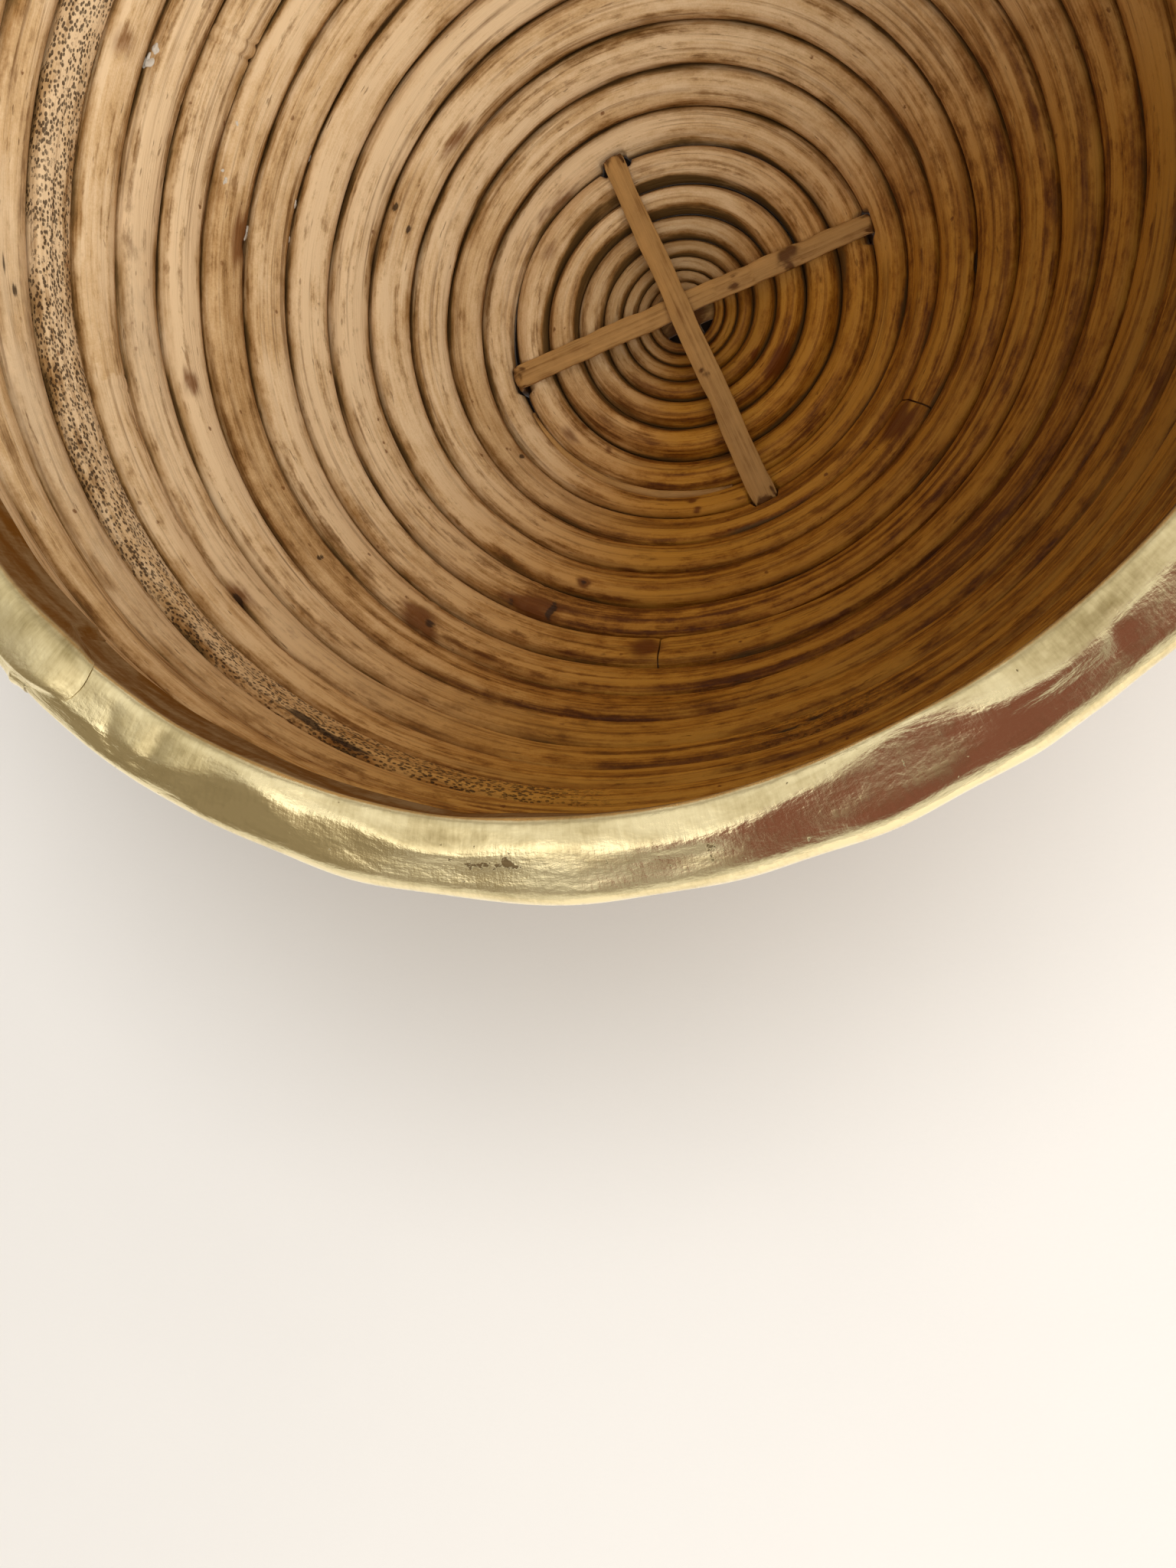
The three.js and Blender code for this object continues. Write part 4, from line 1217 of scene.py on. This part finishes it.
class RATTAN_OT_lay_strips(bpy.types.Operator):
    """Lays the two crossing strips of split cane"""

    bl_idname = "rattan.lay_strips"
    bl_label = "Lay Strips"

    def execute(self, context):
        settings = context.scene.rattan_bowl
        strip = settings.strip
        winding = Winding(settings)
        material = cane_material(strip)
        lower = StripCourse(winding, strip, strip.lower_azimuth, *LOWER_TUCKS)
        upper = StripCourse(winding, strip, strip.upper_azimuth, *UPPER_TUCKS)
        middle = np.array(0.0)
        lifted = lower.over(middle) + strip.thickness + strip.crossing_gap
        upper.over_hump = float(lifted - upper.over(middle))
        lower.under_hump = strip.thickness + strip.crossing_gap
        full = settings.pole.diameter
        lay_strip(lower, "lower_cane_strip", LOWER_FORM, material, full, LOWER_STRIP_SEED)
        lay_strip(upper, "upper_cane_strip", UPPER_FORM, material, full, UPPER_STRIP_SEED)
        return {"FINISHED"}


class RATTAN_OT_wedge_groove_cane(bpy.types.Operator):
    """Wedges the slender cane into a groove of the base"""

    bl_idname = "rattan.wedge_groove_cane"
    bl_label = "Wedge Groove Cane"

    def execute(self, context):
        settings = context.scene.rattan_bowl
        strip = settings.strip
        winding = Winding(settings)
        rings, sides, tip = 120, 16, 0.06
        share = np.linspace(0.0, 1.0, rings)
        turns = strip.groove_start + strip.groove_turns * share
        swell = smooth_step(0.0, 0.45, share) * smooth_step(1.0, 0.8, share)
        thick = strip.groove_tip + (strip.groove_diameter - strip.groove_tip) * swell
        inner, outer = winding.centre(turns), winding.centre(turns + 1)
        reach_inner = winding.diameter(turns) / 2 + settings.pole.swelling + thick / 2
        reach_outer = winding.diameter(turns + 1) / 2 + settings.pole.swelling + thick / 2
        apart = np.linalg.norm(outer - inner, axis=1)
        foot = (apart**2 + reach_inner**2 - reach_outer**2) / (2 * apart)
        lift = np.sqrt(np.maximum(reach_inner**2 - foot**2, 0.0))
        line = (outer - inner) / apart[:, None]
        _, inside = winding.section(turns)
        centre = inner + foot[:, None] * line + lift[:, None] * inside
        angle = round_angles(sides)
        uneven = ripple(np.random.default_rng(GROOVE_CANE_SEED), 12, (1, 3), (6 * MM, 30 * MM))
        run = winding.run_at(turns)[:, None]
        radius = thick[:, None] / 2 * (1 + 0.07 * uneven(run, angle))
        tube = screwed_tube("groove_cane_skin", sides, rings, FULL_TURN * strip.groove_turns)
        lay(tube, centre[:, None, :] + radius[..., None] * winding.around(turns[:, None], angle))
        add_values(tube, "strip_place", tube_place(run, radius, angle))
        ends = np.maximum(bell(share, tip), bell(share - 1, tip))
        add_values(tube, "knot", np.broadcast_to(0.7 * ends[:, None], radius.shape))
        dress(tube, cane_material(strip), "cane", "groove_cane")
        return {"FINISHED"}


def rim_outline(rim):
    """The brass's outer face from outer foot over the crown to inner foot: points, normals and distances."""
    half = rim.width / 2
    ridge_radius = 1.1 * MM
    bend_points, face_points = 8, 60

    def crown(across, tilt):
        return rim.depth - abs(across - rim.ridge_shift) * math.tan(tilt)

    corners = np.array((
        (half, 0.0),
        (half, crown(half, rim.outer_tilt)),
        (rim.ridge_shift, rim.depth),
        (-half, crown(-half, rim.inner_tilt)),
        (-half, 0.0),
    ))
    radii = (rim.outer_radius, ridge_radius, rim.inner_radius)
    outline = [corners[0]]
    for before, corner, after, radius in zip(corners, corners[1:], corners[2:], radii):
        start = corner + (before - corner) / np.linalg.norm(before - corner) * radius
        end = corner + (after - corner) / np.linalg.norm(after - corner) * radius
        for share in np.linspace(0.0, 1.0, bend_points)[:, None]:
            outline.append((1 - share) ** 2 * start + 2 * share * (1 - share) * corner + share**2 * end)
    outline.append(corners[-1])
    outline = np.array(outline)
    even = np.linspace(0.0, path_lengths(outline)[-1], face_points)
    points = spaced(outline, even)
    tangent = np.gradient(points, axis=0)
    tangent /= np.linalg.norm(tangent, axis=1)[:, None]
    return points, np.stack((tangent[:, 1], -tangent[:, 0]), axis=-1), even


def rim_relief(rim, rng, radius, run, across, ridge):
    """How far the hammered sheet lies off the plain fold, at places along the rim and across it."""
    slow = ripple(rng, 16, (0, 0), (22 * MM, 110 * MM))
    skew = ripple(rng, 16, (1, 3), (14 * MM, 60 * MM))
    total = rim.waviness * (0.5 * slow(run, 0.0) + 0.7 * skew(run, across / across.max() * math.pi))
    around = radius * FULL_TURN
    for _ in range(rim.dents):
        place = rng.uniform(0.0, around)
        aside = rng.uniform(across.min(), across.max())
        length = rng.uniform(3.0, 9.0) * MM
        width = length * rng.uniform(0.35, 0.6)
        near = np.mod(run - place + around / 2, around) - around / 2
        deep = rng.uniform(0.2, 1.0) * rim.dent_depth
        total = total - deep * bell(near, length) * bell(across - aside, width)
    off = across - ridge
    for degrees, lean, deep in CREASES:
        near = run - radius * (math.radians(degrees) % FULL_TURN) - lean * off
        total = total - deep * MM * bell(near, 1.3 * MM) * bell(off, 5 * MM)
        total = total + 0.6 * deep * MM * bell(near - 5 * MM, 3.5 * MM) * bell(off, 4 * MM)
    inner_edge = ridge + rim.width / 2 + rim.ridge_shift
    return total * (1 - 0.8 * bell(across - inner_edge, 2.4 * MM))


def lap_relief(rim, from_start, from_end):
    """How far the rim's upper end rises, pressed down at its tip, and how far the end below it sinks."""
    lift, sink = 0.42 * MM, 0.25 * MM
    pressed = 1 - 0.96 * smooth_step(5 * MM, 0.0, from_end)
    raised = lift * smooth_step(2.4 * rim.lap, 0.9 * rim.lap, from_end) * pressed
    return raised, sink * smooth_step(1.6 * rim.lap, 0.6 * rim.lap, from_start)


def tongue_cut(across, ridge):
    """How far back the rim's upper end is cut at distances across it, to leave a tongue near the ridge."""
    depth, aside, half_width, deepest = 7 * MM, 2 * MM, 6 * MM, 9 * MM
    return np.minimum(depth * ((across - ridge - aside) / half_width) ** 2, deepest)


def mark_rim(tube, around, across, run, radius, ridge, sheet):
    """Stores where the rim's inner flange is painted brown, where the crown is rubbed and where it is pitted,
    and its places as if it were laid flat.
    """
    both = np.concatenate((across, across[::-1]))[None, :]
    depth = np.concatenate((np.zeros_like(across), np.full_like(across, sheet)))
    around, run, both, depth = np.broadcast_arrays(around, run, both, depth)
    pitted = strongest(
        bell(run - radius * (math.radians(degrees) % FULL_TURN), size * MM)
        * bell(both - ridge - inside * MM, 2 * MM)
        for degrees, inside, size in PITTED
    )
    add_values(tube, "rim_place", np.stack((around, both, depth), axis=-1))
    # Painted reflection and shade, with some tarnish, on the inner flange
    add_values(tube, "flange", smooth_step(ridge + 3.8 * MM, ridge + 4.8 * MM, both))
    add_values(tube, "rubbed", smooth_step(ridge + 1.2 * MM, ridge - 1.0 * MM, both))
    add_values(tube, "pitting", pitted)


class RATTAN_OT_fold_rim(bpy.types.Operator):
    """Folds the hammered brass over the top turn"""

    bl_idname = "rattan.fold_rim"
    bl_label = "Fold Rim"

    def execute(self, context):
        rim = context.scene.rattan_bowl.rim
        rng = np.random.default_rng(RIM_SEED)
        low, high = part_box("brass_rim")
        middle = high.x - rim.width / 2
        outline, normals, across = rim_outline(rim)
        ridge = float(across[np.argmax(outline[:, 1])])
        lap_angle = rim.lap / middle
        rings = rim.steps + 1
        azimuth = np.linspace(rim.seam, rim.seam + FULL_TURN + lap_angle, rings)[:, None]
        run = middle * np.mod(azimuth, FULL_TURN)
        relief = rim_relief(rim, rng, middle, run, across[None, :], ridge)
        from_start = middle * (azimuth - rim.seam)
        from_end = middle * (rim.seam + FULL_TURN + lap_angle - azimuth)
        raised, sunk = lap_relief(rim, from_start, from_end)
        relief = relief + raised - sunk
        cut = tongue_cut(across, ridge)[None, :] / middle
        azimuth = azimuth - cut * smooth_step(1.6 * rim.lap, 0.0, from_end)
        stray = ripple(rng, 14, (0, 0), (25 * MM, 120 * MM))
        near_ridge = bell(outline[:, 0] - rim.ridge_shift, 2.6 * MM)[None, :]
        half = rim.width / 2
        tent = np.interp(outline[:, 0], (-half, rim.ridge_shift, half), (0.0, 1.0, 0.0))[None, :]
        bearing = np.mod(np.degrees(azimuth), 360)
        swung = math.prod(smooth_step(*swing, bearing) for swing in RIDGE_SWINGS) * tent
        aside = rim.ridge_wander * stray(run, 0.0) * near_ridge + rim.ridge_swing * swung
        fall = rim.ridge_fall * swung * (outline[:, 1] > rim.depth / 2)[None, :]
        sheet = rim.sheet * (0.25 + 0.75 * smooth_step(0.0, 6 * MM, from_end))
        faces = []
        for inset in (0.0, sheet):
            offset = outline[None] + (relief - inset)[..., None] * normals[None]
            reach = middle + offset[..., 0] + aside
            height = low.z + offset[..., 1] - fall
            faces.append(np.stack((reach * np.cos(azimuth), reach * np.sin(azimuth), height), axis=-1))
        loop = np.concatenate((faces[0], faces[1][:, ::-1]), axis=1)
        tube = screwed_tube("brass_rim_skin", loop.shape[1], rings, FULL_TURN + lap_angle)
        lay(tube, loop)
        mark_rim(tube, from_start, across, run, middle, ridge, rim.sheet)
        dress(tube, brass_material(rim), "brass", "brass_rim")
        return {"FINISHED"}


def glue_drop(winding, rng, turn, degrees, size):
    """One lumpy drop of glue, drawn out along the pole and flattened on its skin."""
    drawn_out = (1.5, 0.9, 0.42)
    turns, angle = np.array([turn]), np.array([math.radians(degrees)])
    place = winding.surface(turns, angle)[0]
    up = Vector(place - winding.centre(turns)[0]).normalized()
    ahead = Vector(winding.centre(turns + 0.001)[0] - winding.centre(turns)[0]).normalized()
    clear_selection()
    bpy.ops.mesh.primitive_ico_sphere_add(subdivisions=4, radius=size * MM, location=(0, 0, 0))
    drop = bpy.context.object
    lump = ripple(rng, 10, (1, 4), (2 * MM, 6 * MM))
    points = np.array([vertex.co for vertex in drop.data.vertices])
    swell = 1 + 0.22 * lump(points[:, 2], np.arctan2(points[:, 1], points[:, 0]))
    points = points * swell[:, None] * drawn_out
    turned = np.array(Matrix((ahead, up.cross(ahead), up)).transposed())
    points = points @ turned.T + place
    drop.data.vertices.foreach_set("co", points.astype(np.float32).ravel())
    bpy.ops.object.shade_smooth()
    return drop


class RATTAN_OT_set_glue(bpy.types.Operator):
    """Sets the dried drops of glue on the inside of the wall"""

    bl_idname = "rattan.set_glue"
    bl_label = "Set Glue Drops"

    def execute(self, context):
        winding = Winding(context.scene.rattan_bowl)
        rng = np.random.default_rng(GLUE_SEED)
        drops = [glue_drop(winding, rng, *drop) for drop in GLUE_DROPS]
        clear_selection()
        for drop in drops:
            drop.select_set(True)
        context.view_layer.objects.active = drops[0]
        bpy.ops.object.join()
        glue = bpy.context.object
        glue.name = "glue_drops"
        dress(glue, glue_material(), None)
        return {"FINISHED"}


def studio_world(stage):
    """Plain light from all round, a pale background, and dimmer surroundings for the metal to mirror."""
    world = bpy.data.worlds.new("studio")
    bpy.context.scene.world = world
    graph = Graph(world)
    direction = graph.add("TexCoord").outputs["Generated"]
    height = graph.add("SeparateXYZ", {0: direction}).outputs["Z"]
    around = graph.ramp(
        height, (0.0, (0.95, 0.93, 0.90)), (0.25, (0.78, 0.75, 0.70)), (0.45, (0.46, 0.42, 0.38)),
        (0.58, (0.42, 0.39, 0.35)), (0.70, (0.82, 0.80, 0.77)), (0.86, (1.12, 1.10, 1.06)),
        (1.0, (0.88, 0.86, 0.83)),
    )
    near = graph.measure("DOT_PRODUCT", direction, stage.near_way)
    around = graph.mix(graph.rise(near, 0.84, 0.965), around, stage.near_dim)
    left = graph.measure("DOT_PRODUCT", direction, stage.left_way)
    around = graph.mix(graph.rise(left, 0.84, 0.95), around, stage.left_dim)
    glare = graph.rise(graph.measure("DOT_PRODUCT", direction, stage.glare_way), 0.92, 0.995, 1.0, 1.8)
    rays = graph.add("LightPath").outputs
    colour = graph.mix(rays["Is Glossy Ray"], stage.ambient, around)
    colour = graph.mix(rays["Is Camera Ray"], colour, stage.backdrop)
    strength = graph.total(graph.times(graph.less(glare, 1.0), rays["Is Glossy Ray"]), 1.0)
    background = graph.tree.nodes["Background"]
    graph.set(background.inputs["Color"], colour)
    graph.set(background.inputs["Strength"], strength)


def set_camera(stage):
    """The camera in the photograph's place."""
    clear_selection()
    bpy.ops.object.camera_add()
    camera = bpy.context.object
    camera.name = "camera"
    right = Vector(stage.camera_right).normalized()
    up = -Vector(stage.camera_down)
    up = (up - right * up.dot(right)).normalized()
    turned = Matrix((right, up, right.cross(up))).transposed().to_4x4()
    camera.matrix_world = Matrix.Translation(stage.camera_place) @ turned
    camera.data.lens = stage.lens
    camera.data.sensor_width = 36.0
    camera.data.clip_start = 10 * MM
    bpy.context.scene.camera = camera


def set_lamp(name, place, size, power, tint):
    """An area lamp that looks at the bowl and isn't mirrored."""
    clear_selection()
    bpy.ops.object.light_add(type="AREA", location=place)
    lamp = bpy.context.object
    lamp.name = name
    lamp.data.size = size
    lamp.data.energy = power
    lamp.data.color = tint
    lamp.visible_glossy = False
    lamp.rotation_euler = (-Vector(place)).to_track_quat("-Z", "Y").to_euler()


def set_table_top(stage):
    """The wide table top under the bowl."""
    clear_selection()
    bpy.ops.mesh.primitive_plane_add(size=stage.table_size)
    floor = bpy.context.object
    floor.name = "table_top"
    bpy.ops.object.mode_set(mode="EDIT")
    bpy.ops.mesh.subdivide(number_cuts=3)
    bpy.ops.object.mode_set(mode="OBJECT")
    floor.data.materials.append(floor_material(stage))


class RATTAN_OT_set_stage(bpy.types.Operator):
    """Sets the camera, the lamps, the table top and the surroundings"""

    bl_idname = "rattan.set_stage"
    bl_label = "Set Stage"

    def execute(self, context):
        stage = context.scene.rattan_bowl.stage
        set_camera(stage)
        set_lamp("soft_lamp", stage.lamp_place, stage.lamp_size, stage.lamp_power, stage.lamp_tint)
        set_lamp("fill_lamp", stage.fill_place, stage.fill_size, stage.fill_power, stage.lamp_tint)
        set_table_top(stage)
        studio_world(stage)
        context.scene.view_settings.view_transform = "Standard"
        return {"FINISHED"}


class VIEW3D_PT_rattan_bowl(bpy.types.Panel):
    """Lists the steps that build the bowl"""

    bl_label = "Rattan Bowl"
    bl_space_type = "VIEW_3D"
    bl_region_type = "UI"
    bl_category = "Rattan Bowl"

    def draw(self, context):
        for operator in OPERATORS:
            self.layout.operator(operator.bl_idname)


GROUPS = (ProfileSettings, PoleSettings, StripSettings, RimSettings, StageSettings, BowlSettings)
OPERATORS = (
    RATTAN_OT_set_stage,
    RATTAN_OT_wind_poles,
    RATTAN_OT_lay_strips,
    RATTAN_OT_wedge_groove_cane,
    RATTAN_OT_fold_rim,
    RATTAN_OT_set_glue,
)
CLASSES = (*GROUPS, *OPERATORS, VIEW3D_PT_rattan_bowl)


def register():
    """Registers the classes and the bowl's settings."""
    for cls in CLASSES:
        bpy.utils.register_class(cls)
    bpy.types.Scene.rattan_bowl = PointerProperty(type=BowlSettings)


def unregister():
    """Takes the settings and the classes out again."""
    del bpy.types.Scene.rattan_bowl
    for cls in reversed(CLASSES):
        bpy.utils.unregister_class(cls)


def main():
    """Builds the bowl step by step."""
    register()
    bpy.ops.rattan.set_stage()
    bpy.ops.rattan.wind_poles()
    bpy.ops.rattan.lay_strips()
    bpy.ops.rattan.wedge_groove_cane()
    bpy.ops.rattan.fold_rim()
    bpy.ops.rattan.set_glue()


if __name__ == "__main__":
    main()
